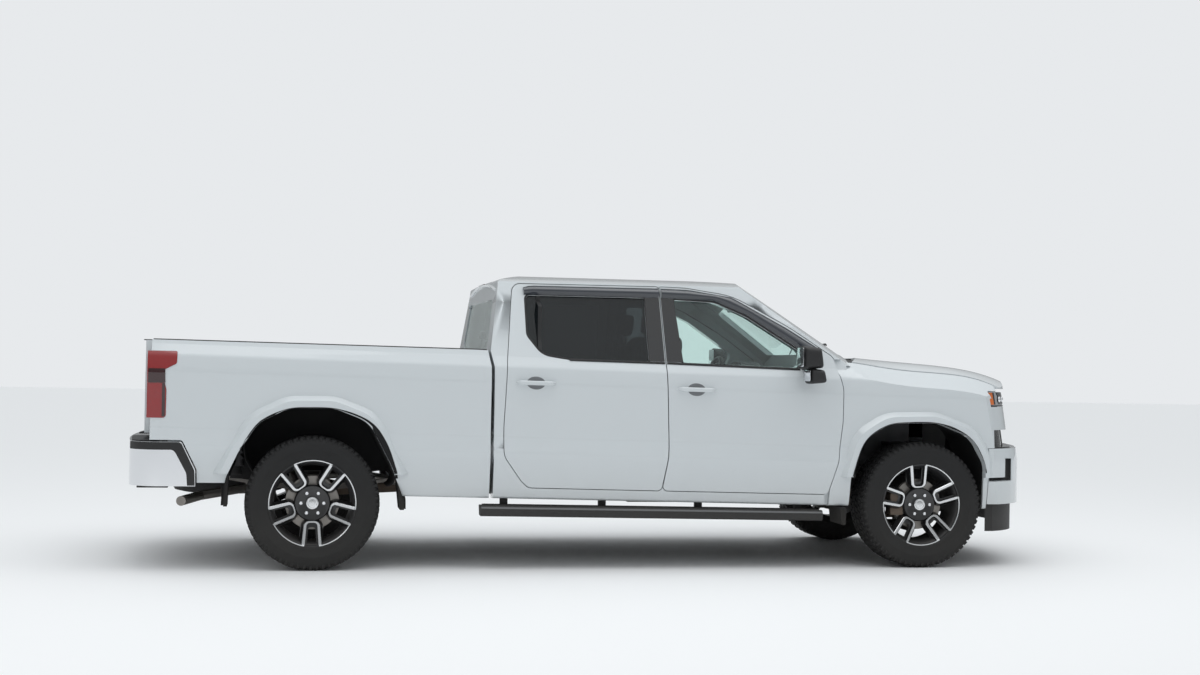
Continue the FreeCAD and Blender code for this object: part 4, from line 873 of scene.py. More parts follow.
@dataclass
class Studio:
    """Camera, floor, lamps and world."""

    place: tuple[float, float, float] = (-2.1436, -11.4688, 1.300)
    yaw: float = 0.191528
    pitch: float = 0.017067
    roll: float = 0.018353
    focal_mm: float = 50.0
    sensor_mm: float = 36.0
    floor_half: float = 60.0
    world: Colour = (0.95, 0.98, 1.0)
    horizon: float = 0.24
    zenith: float = 1.12
    backdrop: Colour = (0.80, 0.82, 0.84)

    def camera(self) -> None:
        """Place the camera where the photographer stood."""
        ahead = Vector((math.sin(self.yaw) * math.cos(self.pitch), math.cos(self.yaw) * math.cos(self.pitch),
                        math.sin(self.pitch)))
        level = Vector((math.cos(self.yaw), -math.sin(self.yaw), 0))
        up = level.cross(ahead)
        right = level * math.cos(self.roll) + up * math.sin(self.roll)
        top = up * math.cos(self.roll) - level * math.sin(self.roll)
        turn = Matrix((right, top, -ahead)).transposed().to_4x4()
        lens = bpy.data.cameras.new("camera")
        lens.lens = self.focal_mm
        lens.sensor_width = self.sensor_mm
        lens.clip_end = 500
        eye = bpy.data.objects.new("camera", lens)
        eye.matrix_world = Matrix.Translation(Vector(self.place)) @ turn
        bpy.context.scene.collection.objects.link(eye)
        bpy.context.scene.camera = eye

    def floor(self) -> None:
        """Lay the pale floor."""
        half = self.floor_half
        made = Shape().box((-half, -half, -0.02), (half, half, 0.0)).object("floor", PALE_FLOOR)

    def lamps(self) -> None:
        """Hang the soft lamps and set the world."""
        rows = (
            # name, place, aim, width, height, power
            ("overhead", (0.3, -1.6, 7.0), (0, -0.4, 0.8), 8.0, 5.0, 130.0),
            ("left of camera", (-7.0, -8.5, 4.6), (0, 0, 0.9), 4.0, 3.0, 45.0),
        )
        for name, place, aim, width, height, power in rows:
            lamp = bpy.data.lights.new(name, "AREA")
            lamp.shape = "RECTANGLE"
            lamp.size, lamp.size_y, lamp.energy = width, height, power
            holder = bpy.data.objects.new(name, lamp)
            holder.location = place
            holder.rotation_euler = (Vector(aim) - Vector(place)).to_track_quat("-Z", "Y").to_euler()
            bpy.context.scene.collection.objects.link(holder)
        world = bpy.data.worlds.new("studio")
        world.use_nodes = True
        bpy.context.scene.world = world
        nodes = Nodes(world.node_tree)
        lit = world.node_tree.nodes["Background"]
        lit.inputs["Color"].default_value = (*self.world, 1)
        ways = nodes.add("ShaderNodeTexCoord")
        rise = nodes.add("ShaderNodeSeparateXYZ", Vector=ways.outputs["Generated"])
        level = nodes.add("ShaderNodeMapRange", i0=rise.outputs["Z"], i1=0.0, i2=0.9, i3=self.horizon,
                          i4=self.zenith)
        world.node_tree.links.new(level.outputs[0], lit.inputs["Strength"])
        seen = nodes.add("ShaderNodeBackground", Color=(*self.backdrop, 1), Strength=1.0)
        path = nodes.add("ShaderNodeLightPath")
        either = nodes.math("MAXIMUM", path.outputs["Is Camera Ray"], path.outputs["Is Transmission Ray"])
        mix = nodes.add("ShaderNodeMixShader", Fac=either, i1=lit.outputs[0], i2=seen.outputs[0])
        world.node_tree.links.new(mix.outputs[0], world.node_tree.nodes["World Output"].inputs[0])


# Frame nodes

@dataclass
class FrameDress:
    """Finishes and smooth shading of the frame's own nodes."""

    frame: dict
    crease: float = 32.0
    by_slot: dict[str, Finish] = field(default_factory=lambda: {
        "white_paint": WHITE, "frame_black": CHASSIS, "glass_clear": CLEAR_GLASS, "glass_dark": DARK_GLASS,
        "trim_black": GRAINED, "gloss_black": GLOSS_BLACK, "tyre_rubber": TYRE, "wheel_alloy": BARREL,
        "cast_iron": RUSTY, "chassis_steel": STEEL, "lamp_lens": REFLECTOR, "red_lens": RED_LENS,
        "chrome_trim": CHROME, "seat_cloth": CLOTH, "cabin_plastic": CABIN, "engine_grey": ENGINE})
    by_node: dict[str, Finish] = field(default_factory=lambda: {"arch_liners": FELT})

    def smoothing(self) -> bpy.types.NodeTree:
        """Build the node tree that welds a node's triangles and smooths its gentle edges.

        Returns:
            The tree "Smooth Node".
        """
        tree = bpy.data.node_groups.new("Smooth Node", "GeometryNodeTree")
        tree.interface.new_socket("Geometry", in_out="INPUT", socket_type="NodeSocketGeometry")
        crease = tree.interface.new_socket("Crease", in_out="INPUT", socket_type="NodeSocketFloat")
        crease.default_value = math.radians(self.crease)
        tree.interface.new_socket("Geometry", in_out="OUTPUT", socket_type="NodeSocketGeometry")
        nodes = Nodes(tree)
        source = nodes.add("NodeGroupInput")
        welded = nodes.add("GeometryNodeMergeByDistance", Geometry=source.outputs[0], Distance=2e-5)
        angle = nodes.add("GeometryNodeInputMeshEdgeAngle").outputs[0]
        gentle = nodes.add("FunctionNodeCompare", {"data_type": "FLOAT", "operation": "LESS_THAN"},
                           i0=angle, i1=source.outputs["Crease"]).outputs[0]
        faces = nodes.add("GeometryNodeSetShadeSmooth", {"domain": "FACE"}, Geometry=welded.outputs[0])
        edges = nodes.add("GeometryNodeSetShadeSmooth", {"domain": "EDGE"}, Geometry=faces.outputs[0])
        tree.links.new(gentle, edges.inputs["Shade Smooth"])
        sink = nodes.add("NodeGroupOutput")
        tree.links.new(edges.outputs[0], sink.inputs[0])
        return tree

    def dress(self) -> None:
        """Give every node its finish and smooth shading."""
        tree = self.smoothing()
        for part in self.frame["record"]["subparts"]:
            node = self.frame["nodes"][part["node"]]
            node.data.materials.clear()
            finish = self.by_node.get(part["node"], self.by_slot[part["material_slot"]])
            node.data.materials.append(finish.material())
            modifier = node.modifiers.new("smooth", "NODES")
            modifier.node_group = tree
        log.info("dressed %d nodes", len(self.frame["nodes"]))


# Wheels

@dataclass
class Wheel:
    """One road wheel: tyre with its tread, split-spoke rim, nuts, cap and brake disc."""

    end: str
    side: Side
    axle_x: float
    turn: float
    rim_radius: float = 0.272
    lip_out: float = 0.124
    hub_radius: float = 0.09
    hub_out: float = 0.082
    dish: float = 0.036
    spokes: int = 5
    pocket_rim: float = 0.043
    pocket_root: float = 0.034
    pocket_corner: float = 0.022
    pocket_depth_radius: float = 0.121
    leg: float = 0.015
    slope: float = 0.020
    nut_circle: float = 0.0699
    nuts: int = 6
    pitches: int = 64
    shoulder: float = 0.124

    @property
    def body(self) -> str:
        """Name of the wheel's body."""
        return f"wheel_{self.end}_{self.side.word}"

    def place(self) -> Matrix:
        """Place the wheel's own axes, with +Y outwards, on the truck.

        Returns:
            The transform.
        """
        spot = Vector((self.axle_x, self.side.value * HALF_TRACK, TYRE_RADIUS))
        face = Matrix.Rotation(0 if self.side is Side.LEFT else math.pi, 4, "Z")
        return Matrix.Translation(spot) @ face @ Matrix.Rotation(self.turn, 4, "Y")

    def add(self, shape: Shape, label: str, finish: Finish, crease: float = 30) -> bpy.types.Object:
        """Fit a part of the wheel.

        Args:
            shape: the part in the wheel's own axes.
            label: its name, without the body's.
            finish: its finish.
            crease: angle in degrees above which an edge stays sharp.

        Returns:
            The piece.
        """
        return shape.moved(self.place()).fitted(f"{label}_{self.body}", finish, self.body, crease=crease)

    def circle(self, label: str, source: bpy.types.Object, finish: Finish, count: int, radius: float,
               phase: float) -> None:
        """Fit copies of an object round the axle.

        Args:
            label: the piece's name, without the body's.
            source: the object to repeat.
            finish: finish of the copies.
            count: number of copies.
            radius: radius of their circle.
            phase: angle of the first in radians.
        """
        repeated(f"{label}_{self.body}", Copies.RING, source, finish, self.body, self.place(), Count=count,
                 Radius=radius, Phase=phase)

    def height(self, radius: float) -> float:
        """Return how far out the wheel's face lies at a radius."""
        share = min(max((radius - self.hub_radius) / (self.rim_radius - self.hub_radius), 0.0), 1.0)
        return self.hub_out + self.dish * share ** 0.8

    def outline(self, grow: float, inner: float, drop: float, steps: int = 7) -> list[Vector]:
        """Trace the U round a pocket from the rim to the hub and back.

        Args:
            grow: how much wider than the pocket it is.
            inner: radius where the U turns.
            drop: how far behind the face it lies.
            steps: segments in each rounded corner.

        Returns:
            Points in the spoke's own axes.
        """
        top = self.pocket_rim + grow
        low = self.pocket_root + grow
        outer = math.sqrt(max((self.rim_radius - 0.006) ** 2 - top ** 2, 0))
        corner = self.pocket_corner + grow * 0.7
        half = [(top, outer), (top * 0.6 + low * 0.4, outer * 0.6 + (inner + corner) * 0.4),
                (low, inner + corner)]
        for k in range(1, steps + 1):
            a = math.pi / 2 * k / steps
            half.append((low - corner * (1 - math.cos(a)), inner + corner * (1 - math.sin(a))))
        return [Vector((u, self.height(math.hypot(u, r)) - drop, r))
                for u, r in half + [(-u, r) for u, r in reversed(half)]]

    def spoke(self) -> tuple[Shape, Shape]:
        """Build one split spoke.

        Returns:
            Its machined faces and its painted faces.
        """
        root = self.pocket_depth_radius
        edge = self.outline(0.0, root, 0.0)
        leg = self.outline(self.leg, root - 0.008, 0.0)
        soft = self.outline(self.leg + 0.003, root - 0.010, 0.003)
        wall = self.outline(-0.005, root + 0.006, 0.024)
        back = self.outline(-0.005, root + 0.006, 0.060)
        skirt = self.outline(self.leg + self.slope, root - 0.020, 0.036)
        hidden = self.outline(self.leg + self.slope, root - 0.020, 0.062)
        ledge = self.outline(-0.012, root + 0.014, 0.024)
        window = self.outline(-0.012, root + 0.030, 0.026)
        bright = Shape().sheet([edge, leg, soft])
        dark = Shape().sheet([edge, wall]).sheet([soft, skirt, hidden]).sheet([wall, ledge, window, back])
        return bright, dark

    def rim(self) -> None:
        """Build the rim: spokes, hub, barrel and its machined ring."""
        machined, painted = Shape(), Shape()
        for source, sink in zip(self.spoke(), (machined, painted)):
            for angle in angles(self.spokes):
                sink.add(source, Matrix.Rotation(angle, 4, "Y"))
            source.bm.free()
        self.ring(machined, painted)
        painted.lathe([(0.078, 0.0), (0.078, 0.050), (0.082, 0.058), (0.084, 0.105), (0.072, 0.113),
                       (0.02, 0.113), (0.02, 0.0)], 72)
        lip, out = self.rim_radius, self.lip_out
        barrel = Shape().lathe([(out - 0.012, lip - 0.008), (out - 0.026, lip - 0.016), (0.05, lip - 0.030),
                                (-0.10, lip - 0.026), (-0.122, lip - 0.002), (-0.125, lip - 0.006),
                                (-0.10, lip - 0.034), (0.05, lip - 0.038), (out - 0.03, lip - 0.024),
                                (out - 0.016, lip - 0.014)], looped=True)
        self.add(machined, "rim_face", MACHINED, 28)
        self.add(painted, "rim_paint", POCKET, 28)
        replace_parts(self.add(barrel, "rim_barrel", BARREL, 28), f"rim_{self.end}_{self.side.word}")

    def ring(self, machined: Shape, painted: Shape, steps: int = 180) -> None:
        """Add the thin ring at the lip, painted where a pocket runs out to it.

        Args:
            machined: shape that takes the bright stretches.
            painted: shape that takes the dark stretches.
            steps: segments round the ring.
        """
        lip, out = self.rim_radius, self.lip_out
        half, pitch = math.asin(self.pocket_rim / lip), 2 * math.pi / self.spokes
        profile = ((out - 0.010, lip - 0.012), (out - 0.002, lip - 0.009), (out, lip - 0.003),
                   (out - 0.006, lip))
        turns = spread(0.0, 2 * math.pi, steps)
        for a0, a1 in zip(turns, turns[1:]):
            away = abs(((a0 + a1) / 2 + pitch / 2) % pitch - pitch / 2)
            shape = painted if away < half else machined
            shape.sheet([[Vector((r * math.sin(a), y, r * math.cos(a))) for y, r in profile]
                         for a in (a0, a1)])

    def hub(self) -> None:
        """Build the nuts, the plain cap and the brake disc."""
        nut = Shape().lathe([(0.072, 0.0130), (0.088, 0.0130), (0.094, 0.0108), (0.097, 0.006)], 6)
        self.circle("nuts", nut.object("nut", CHROME, crease=25), CHROME, self.nuts, self.nut_circle,
                    math.radians(30) - self.turn)
        self.add(Shape().lathe([(0.07, 0.0), (0.07, 0.040), (0.086, 0.040), (0.092, 0.037), (0.094, 0.030),
                                (0.092, 0.026), (0.095, 0.0)], 48), "cap", MACHINED)
        self.add(Shape().lathe([(0.012, 0.0), (0.012, 0.166), (0.020, 0.168), (0.021, 0.160), (0.031, 0.160),
                                (0.032, 0.168), (0.040, 0.166), (0.040, 0.098), (0.062, 0.090), (0.066, 0.0)],
                               72), "disc", STEEL)

    def block(self, wide: float, long: float, tall: float, out: float, skew: float) -> bpy.types.Object:
        """Build one tread block at the top of the tyre.

        Args:
            wide: width across the tyre.
            long: length round the tyre.
            tall: height above the carcass.
            out: place across the tyre.
            skew: how far its outer end is shifted round the tyre.

        Returns:
            The block.
        """
        rings = []
        for level, grow in ((-0.004, 0.0), (tall, -0.0012)):
            w, l = wide / 2 + grow, long / 2 + grow
            rings.append([Vector((l * a + skew * b, out + w * b, level))
                          for a, b in ((-1, -1), (1, -1), (1.05, 0), (1, 1), (-1, 1), (-0.85, 0))])
        return Shape().skin(rings).object("block", TYRE, crease=20)

    def tyre(self) -> None:
        """Build the tyre's carcass, its sidewall ribs and its tread."""
        low = self.rim_radius
        half = [(0.105, low - 0.014), (0.122, low - 0.004), (0.1275, low + 0.004), (0.131, low + 0.010),
                (0.1305, low + 0.0135), (0.1365, low + 0.036), (0.1385, 0.330), (0.1395, 0.333),
                (0.1395, 0.338), (0.1385, 0.341), (0.1375, 0.358), (0.1365, 0.361), (0.1345, 0.376),
                (0.1330, 0.379), (0.1290, 0.391), (0.1225, 0.4005), (0.108, 0.4065), (0.05, 0.4085)]
        carcass = Shape().lathe(half + [(-y, r) for y, r in reversed(half)], 120, looped=True)
        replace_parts(self.add(carcass, "tyre", TYRE, 40), f"tyre_{self.end}_{self.side.word}")
        pitch = 2 * math.pi * TYRE_RADIUS / self.pitches
        rows = (
            # place across, width, share of a pitch, skew, phase share, block height, depth below the tread
            (-0.094, 0.036, 0.72, 0.004, 0.0, 0.0085, 0.0105),
            (-0.053, 0.034, 0.78, -0.006, 0.5, 0.0065, 0.0082),
            (0.0, 0.050, 0.80, 0.005, 0.25, 0.0065, 0.0082),
            (0.053, 0.034, 0.78, 0.006, 0.0, 0.0065, 0.0082),
            (0.094, 0.036, 0.72, -0.004, 0.5, 0.0085, 0.0105),
        )
        for k, (out, wide, share, skew, phase, tall, depth) in enumerate(rows):
            self.circle(f"tread_{k}", self.block(wide, pitch * share, tall, out, skew), TYRE, self.pitches,
                        TYRE_RADIUS - depth, phase * 2 * math.pi / self.pitches)
        for word, y in (("in", -self.shoulder), ("out", self.shoulder)):
            lug = Shape().box((-0.008, y - 0.008, -0.030), (0.008, y + 0.008, -0.004))
            self.circle(f"shoulder_{word}", lug.object("lug", TYRE, bevel=0.002), TYRE, self.pitches,
                        TYRE_RADIUS - 0.004, math.pi / self.pitches)

    def build(self) -> None:
        """Build the whole wheel."""
        self.tyre()
        self.rim()
        self.hub()


# Side windows and their trim

REAR_WINDOW = ((-0.568, 1.747, 0.025), (-0.562, 1.490, 0.060), (-0.470, 1.372, 0.120), (-0.300, 1.345, 0.150),
               (0.222, 1.335, 0.012), (0.215, 1.749, 0.012))
FRONT_WINDOW = ((0.452, 1.331, 0.012), (0.415, 1.741, 0.012), (0.690, 1.730, 0.200), (0.900, 1.640, 0.300),
                (1.262, 1.408, 0.060), (1.235, 1.311, 0.040))


@dataclass
class WindowTrim:
    """Seals, pillar covers and smoked visors round the side windows."""

    side: Side
    skin: Skin
    seal: float = 0.014
    seat: float = 0.006
    cover_lift: float = 0.0022
    cover_wall: float = 0.0015
    bar_lift: float = 0.004
    visor_wall: float = 0.002
    belt_height: float = 0.012

    def ring(self, name: str, body: str, outline: Sequence[Corner]) -> None:
        """Lay a rubber seal round a window.

        Args:
            name: name of the piece.
            body: body that carries it.
            outline: the window's corners.
        """
        middle = Vector([sum(corner[axis] for corner in outline) / len(outline) for axis in (0, 1)])
        points = [Vector(point) for point in arc_points(outline)]
        spots = []
        for i, point in enumerate(points):
            along = (points[(i + 1) % len(points)] - points[i - 1]).normalized()
            normal = Vector((along.y, -along.x))
            if normal.dot(point - middle) < 0:
                normal = -normal
            near = point + normal * self.seat
            spots.append((point, normal, self.skin.side(self.side, near.x, near.y).y))
        rings = []
        for grow, lift in ((0.0, -0.010), (0.0, 0.0005), (0.004, 0.0030), (self.seal - 0.003, 0.0028),
                           (self.seal, 0.0)):
            rings.append([Vector(((point + normal * grow).x, y + self.side.value * lift,
                                  (point + normal * grow).y)) for point, normal, y in spots])
        Shape().skin(rings, caps=False).fitted(name, SEAL, body, crease=50)

    def cover(self, name: str, body: str, low: Sequence[Point2], high: Sequence[Point2], steps: int,
              finish: Finish, lift: float | Callable[[float], float], rows: int = 8,
              wall: float | None = None) -> None:
        """Lay a thin cover on a door.

        Args:
            name: name of the piece, without the side.
            body: body that carries it, without the side.
            low: corners of its lower edge.
            high: corners of its upper edge.
            steps: quads along it.
            finish: its finish.
            lift: its stand-off.
            rows: quads over its height.
            wall: its thickness, if not that of a pillar cover.
        """
        strip(self.skin, self.side, name, finish, run(low, steps), run(high, steps), rows, lift,
              f"{body}_{self.side.word}", crease=50, wall=wall or self.cover_wall)

    @staticmethod
    def bulge(share: float) -> float:
        """Return how far a visor stands off at a share of its height."""
        return 0.003 + 0.024 * math.sin(math.pi * min(share * 1.15, 1.0)) ** 0.8

    @staticmethod
    def belt(share: float) -> float:
        """Return how far the strip under a window stands off at a share of its height."""
        return 0.002 + 0.004 * math.sin(math.pi * share)

    def build(self) -> None:
        """Build the trim of both doors of this side."""
        word, front, rear = self.side.word, "door_front", "door_rear"
        self.ring(f"window_seal_rear_{word}", f"{rear}_{word}", REAR_WINDOW)
        self.ring(f"window_seal_front_{word}", f"{front}_{word}", FRONT_WINDOW)
        self.cover("pillar_cover_rear", rear, ((0.226, 1.336), (0.327, 1.3345)),
                   ((0.220, 1.752), (0.316, 1.754)), 4, GLOSS_BLACK, self.cover_lift)
        self.cover("pillar_cover_front", front, ((0.341, 1.3342), (0.450, 1.332)),
                   ((0.328, 1.754), (0.412, 1.748)), 4, GLOSS_BLACK, self.cover_lift)
        self.cover("visor_rear", rear, ((-0.583, 1.752), (-0.560, 1.7535), (0.314, 1.754)),
                   ((-0.586, 1.797), (-0.540, 1.8115), (0.314, 1.815)), 24, SMOKED, self.bulge,
                   wall=self.visor_wall)
        self.cover("visor_front", front,
                   ((0.331, 1.754), (0.690, 1.744), (0.905, 1.654), (1.270, 1.424), (1.300, 1.385)),
                   ((0.329, 1.815), (0.520, 1.811), (0.812, 1.768), (1.180, 1.567), (1.400, 1.428)), 34,
                   SMOKED, self.bulge, wall=self.visor_wall)
        self.cover("quarter_bar", rear, ((-0.502, 1.402), (-0.478, 1.386)),
                   ((-0.502, 1.745), (-0.478, 1.745)), 2, SEAL, self.bar_lift, 10)
        for name, body, high in (("rear", rear, ((-0.300, 1.3405), (0.327, 1.3305))),
                                 ("front", front, ((0.341, 1.3305), (1.240, 1.306)))):
            self.cover(f"belt_{name}", body, [(x, z - self.belt_height) for x, z in high], high, 16, SEAL,
                       self.belt, 4)


# Doors' outside hardware

@dataclass
class DoorHandle:
    """Strap handle over a grey oval of painted shade where its cup lies."""

    end: str
    side: Side
    skin: Skin
    centre: Point2
    half: float = 0.128
    height: float = 0.030
    stand: float = 0.032
    thick: float = 0.0065
    tilt: float = -0.0185
    # half sizes of the cup's oval of painted shade
    cup: Point2 = (0.060, 0.041)

    def strap(self, share: float) -> list[Vector]:
        """Trace the section of the strap.

        Args:
            share: place along the strap, from -1 to 1.

        Returns:
            Its points.
        """
        x0, z0 = self.centre
        x = x0 + share * self.half
        base = self.skin.side(self.side, x, z0 + self.tilt * (x - x0))
        out = 0.004 + self.stand * min(1.0, (1 - abs(share) ** 3.5) * 1.6)
        half_z = self.height / 2 * (0.60 + 0.40 * min(1.0, (1 - abs(share)) * 5))
        return [Vector((x, base.y + self.side.value * (out + self.thick * math.cos(a)),
                        base.z + half_z * math.sin(a))) for a in angles(10)]

    def build(self) -> None:
        """Build the strap and the cup, a grey oval of painted shade on the door."""
        name, body = f"{self.end}_{self.side.word}", f"door_{self.end}_{self.side.word}"
        x0, z0 = self.centre
        strap = Shape().skin([self.strap(share) for share in spread(-1.0, 1.0, 28)])
        strap.fitted(f"handle_{name}", WHITE, body, crease=60, levels=1)
        rings = []
        # the cup is a thin oval just off the door, coloured grey as painted shade
        for grow, lift in ((1.0, 0.0006), (0.93, 0.0012), (0.80, 0.0010)):
            spots = [(self.cup[0] * grow * math.cos(a), self.cup[1] * grow * math.sin(a)) for a in angles(32)]
            rings.append([self.skin.side(self.side, x0 + x, z0 + self.tilt * x + z, lift) for x, z in spots])
        Shape().skin(rings).fitted(f"handle_cup_{name}", CUP_PAINTED_SHADE, body, crease=60)


@dataclass
class Mirror:
    """Door mirror: black upper and lower housings, their glasses and the foot."""

    side: Side
    upper: tuple = (
        # |y|, x low, x high, z low, z high of each section
        (1.050, 1.190, 1.322, 1.310, 1.440), (1.075, 1.186, 1.338, 1.302, 1.455),
        (1.120, 1.188, 1.344, 1.300, 1.458), (1.170, 1.194, 1.336, 1.304, 1.452),
        (1.198, 1.206, 1.318, 1.314, 1.440), (1.205, 1.222, 1.300, 1.330, 1.424))
    lower: tuple = (
        (1.048, 1.236, 1.330, 1.222, 1.300), (1.075, 1.234, 1.362, 1.207, 1.312),
        (1.120, 1.236, 1.366, 1.206, 1.314), (1.170, 1.240, 1.358, 1.208, 1.310),
        (1.198, 1.250, 1.344, 1.216, 1.302), (1.205, 1.262, 1.330, 1.228, 1.290))
    foot: tuple = (
        (0.915, 1.238, 1.352, 1.300, 1.352), (0.955, 1.250, 1.345, 1.298, 1.345),
        (1.005, 1.262, 1.332, 1.296, 1.336), (1.056, 1.266, 1.326, 1.294, 1.332))
    glass: tuple = (
        # name, x, z low, z high
        ("main", 1.186, 1.318, 1.442), ("wide", 1.2325, 1.226, 1.298))
    glass_span: Point2 = (1.062, 1.196)
    glass_corner: float = 0.012

    def loft(self, name: str, table: Sequence[tuple], radii: Sequence[float],
             shave: Sequence[float] = (0.0, 0.0, 0.0)) -> bpy.types.Object:
        """Build a rounded body through sections across the truck.

        Args:
            name: its name, without the side.
            table: |y|, x low, x high, z low and z high of each section.
            radii: radii of the four corners, from the lower rear one.
            shave: rise of the lower front corner, set-back and drop of the upper front one.

        Returns:
            The piece.
        """
        rise, back, drop = shave
        rings = []
        for y, x0, x1, z0, z1 in table:
            corners = ((x0, z0), (x1, z0 + rise), (x1 - back, z1 - drop), (x0, z1))
            outline = arc_points([(*corner, radius) for corner, radius in zip(corners, radii)], 3)
            rings.append([Vector((x, self.side.value * y, z)) for x, z in outline])
        return Shape().skin(rings).fitted(f"mirror_{name}_{self.side.word}", GRAINED,
                                          f"door_front_{self.side.word}", crease=60, levels=1)

    def build(self) -> None:
        """Build the housings, the glasses and the foot."""
        word = self.side.word
        radii, shave = (0.016, 0.018, 0.02, 0.012), (0.010, 0.018, 0.012)
        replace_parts(self.loft("upper", self.upper, radii, shave), f"mirror_{word}")
        self.loft("lower", self.lower, radii, shave)
        y0, y1 = self.glass_span
        for name, x, z0, z1 in self.glass:
            corners = [(y, z, self.glass_corner) for y, z in ((y0, z0), (y1, z0), (y1, z1), (y0, z1))]
            outline = [Vector((x, self.side.value * y, z)) for y, z in arc_points(corners, 4)]
            Shape().prism(outline, Vector((-0.002, 0, 0))).fitted(
                f"mirror_glass_{name}_{word}", REFLECTOR, f"door_front_{word}", GRAINED, bevel=0.0005)
        self.loft("foot", self.foot, (0.010, 0.012, 0.012, 0.010))


# Wheel arches

REAR_EDGE = ((-2.440, 0.560, 0.20), (-2.362, 0.730, 0.20), (-2.242, 0.915, 0.20), (-2.055, 1.006, 0.22),
             (-1.790, 1.008, 0.24), (-1.568, 0.923, 0.20), (-1.425, 0.650, 0.30), (-1.372, 0.520, 0.05))
REAR_LIP = ((-2.4310, 0.532), (-2.3760, 0.661), (-2.3270, 0.778), (-2.2690, 0.895), (-2.2010, 0.949),
            (-2.0990, 0.994), (-1.9830, 1.0115), (-1.8670, 1.0125), (-1.7500, 1.004), (-1.6320, 0.968),
            (-1.5360, 0.916), (-1.4760, 0.833), (-1.4390, 0.762), (-1.4070, 0.667), (-1.3760, 0.570))
FRONT_EDGE = ((1.590, 0.590, 0.05), (1.668, 0.848, 0.20), (1.842, 0.955, 0.22), (2.172, 0.962, 0.26),
              (2.422, 0.868, 0.20), (2.516, 0.690, 0.20), (2.526, 0.430, 0.05))
FRONT_LIP = ((1.5840, 0.591), (1.6070, 0.673), (1.6360, 0.767), (1.6840, 0.850), (1.7390, 0.903),
             (1.8250, 0.942), (1.9370, 0.963), (2.0490, 0.968), (2.1500, 0.967), (2.2630, 0.945),
             (2.3520, 0.906), (2.4290, 0.851), (2.4740, 0.786), (2.5070, 0.703), (2.5310, 0.596),
             (2.5350, 0.440))


@dataclass
class ArchFelt:
    """Black felt lining of a rear wheel arch."""

    side: Side
    centre: Point2 = (REAR_AXLE_X, 0.45)
    skirt: float = 0.60
    sections: tuple = (
        # |y| and how far inside the arch's edge
        (0.984, 0.0015), (0.930, 0.003), (0.900, 0.003), (0.675, 0.003), (0.660, 0.02))

    def build(self) -> None:
        """Build the lining and its inner wall."""
        rings = []
        for y, shrink in self.sections:
            ring = []
            for x, z in arc_points(REAR_EDGE, 5):
                inward = (Vector(self.centre) - Vector((x, z))).normalized() * shrink
                ring.append(Vector((x + inward.x, self.side.value * y, z + inward.y)))
            rings.append(ring)
        wall = [rings[-1], [Vector((v.x, v.y, min(v.z, self.skirt))) for v in rings[-1]]]
        Shape().sheet(rings).sheet(wall).fitted(f"arch_felt_{self.side.word}", FELT, crease=50, wall=0.002)


@dataclass
class ArchLip:
    """Dark moulding that rounds off the edge of one wheel arch."""

    name: str
    nodes: Sequence[str]
    edge: Sequence[Corner]
    curve: Sequence[Point2]
    centre: Point2
    span: Point2
    steps: int = 90
    overlap: float = 0.001
    least: float = 0.003
    soften: int = 3

    def reach(self, points: Sequence[Point2], angle: float) -> float:
        """Return how far a line of points lies from the centre.

        Args:
            points: the line.
            angle: direction in radians.

        Returns:
            The distance.
        """
        polar = []
        for x, z in points:
            turn = math.atan2(z - self.centre[1], x - self.centre[0])
            turn += 0 if turn > -math.pi / 2 else 2 * math.pi
            polar.append((turn, math.dist((x, z), self.centre)))
        polar.sort()
        for (a0, r0), (a1, r1) in zip(polar, polar[1:]):
            if a0 <= angle <= a1:
                return r0 + (r1 - r0) * (angle - a0) / max(a1 - a0, 1e-9)
        return polar[0][1] if angle < polar[0][0] else polar[-1][1]

    def build(self, frame: dict, side: Side) -> None:
        """Lay the moulding between the body's edge and the smooth curve.

        Args:
            frame: the loaded frame.
            side: side of the truck.
        """
        edge, curve = run(arc_points(self.edge, 6), 360), run(self.curve, 240)
        turns = [math.radians(turn) for turn in spread(*self.span, self.steps)]
        inner = [self.reach(edge, turn) + self.overlap for turn in turns]
        outer = [max(near + 0.004, self.reach(curve, turn)) for near, turn in zip(inner, turns)]
        soft = []
        for k, near in enumerate(inner):
            around = outer[max(0, k - self.soften):k + self.soften + 1]
            soft.append(max(near + self.least, sum(around) / len(around)))
        low, high = ([(self.centre[0] + r * math.cos(t), self.centre[1] + r * math.sin(t))
                      for r, t in zip(line, turns)] for line in (inner, soft))
        strip(Skin(frame, self.nodes), side, self.name, FELT, low, high, 3, 0.0014, crease=40)


def nose_x(y: float, z: float, inset: float = 0.0) -> float:
    """Return how far forward the nose lies.

    Args:
        y: place across the truck.
        z: height.
        inset: how far behind the outer surface.

    Returns:
        The X of that point.
    """
    lean = 0.16 * max(z - 0.714, 0.0)
    return 1.6182 + math.sqrt((1.4448 - inset) ** 2 - y * y) - lean


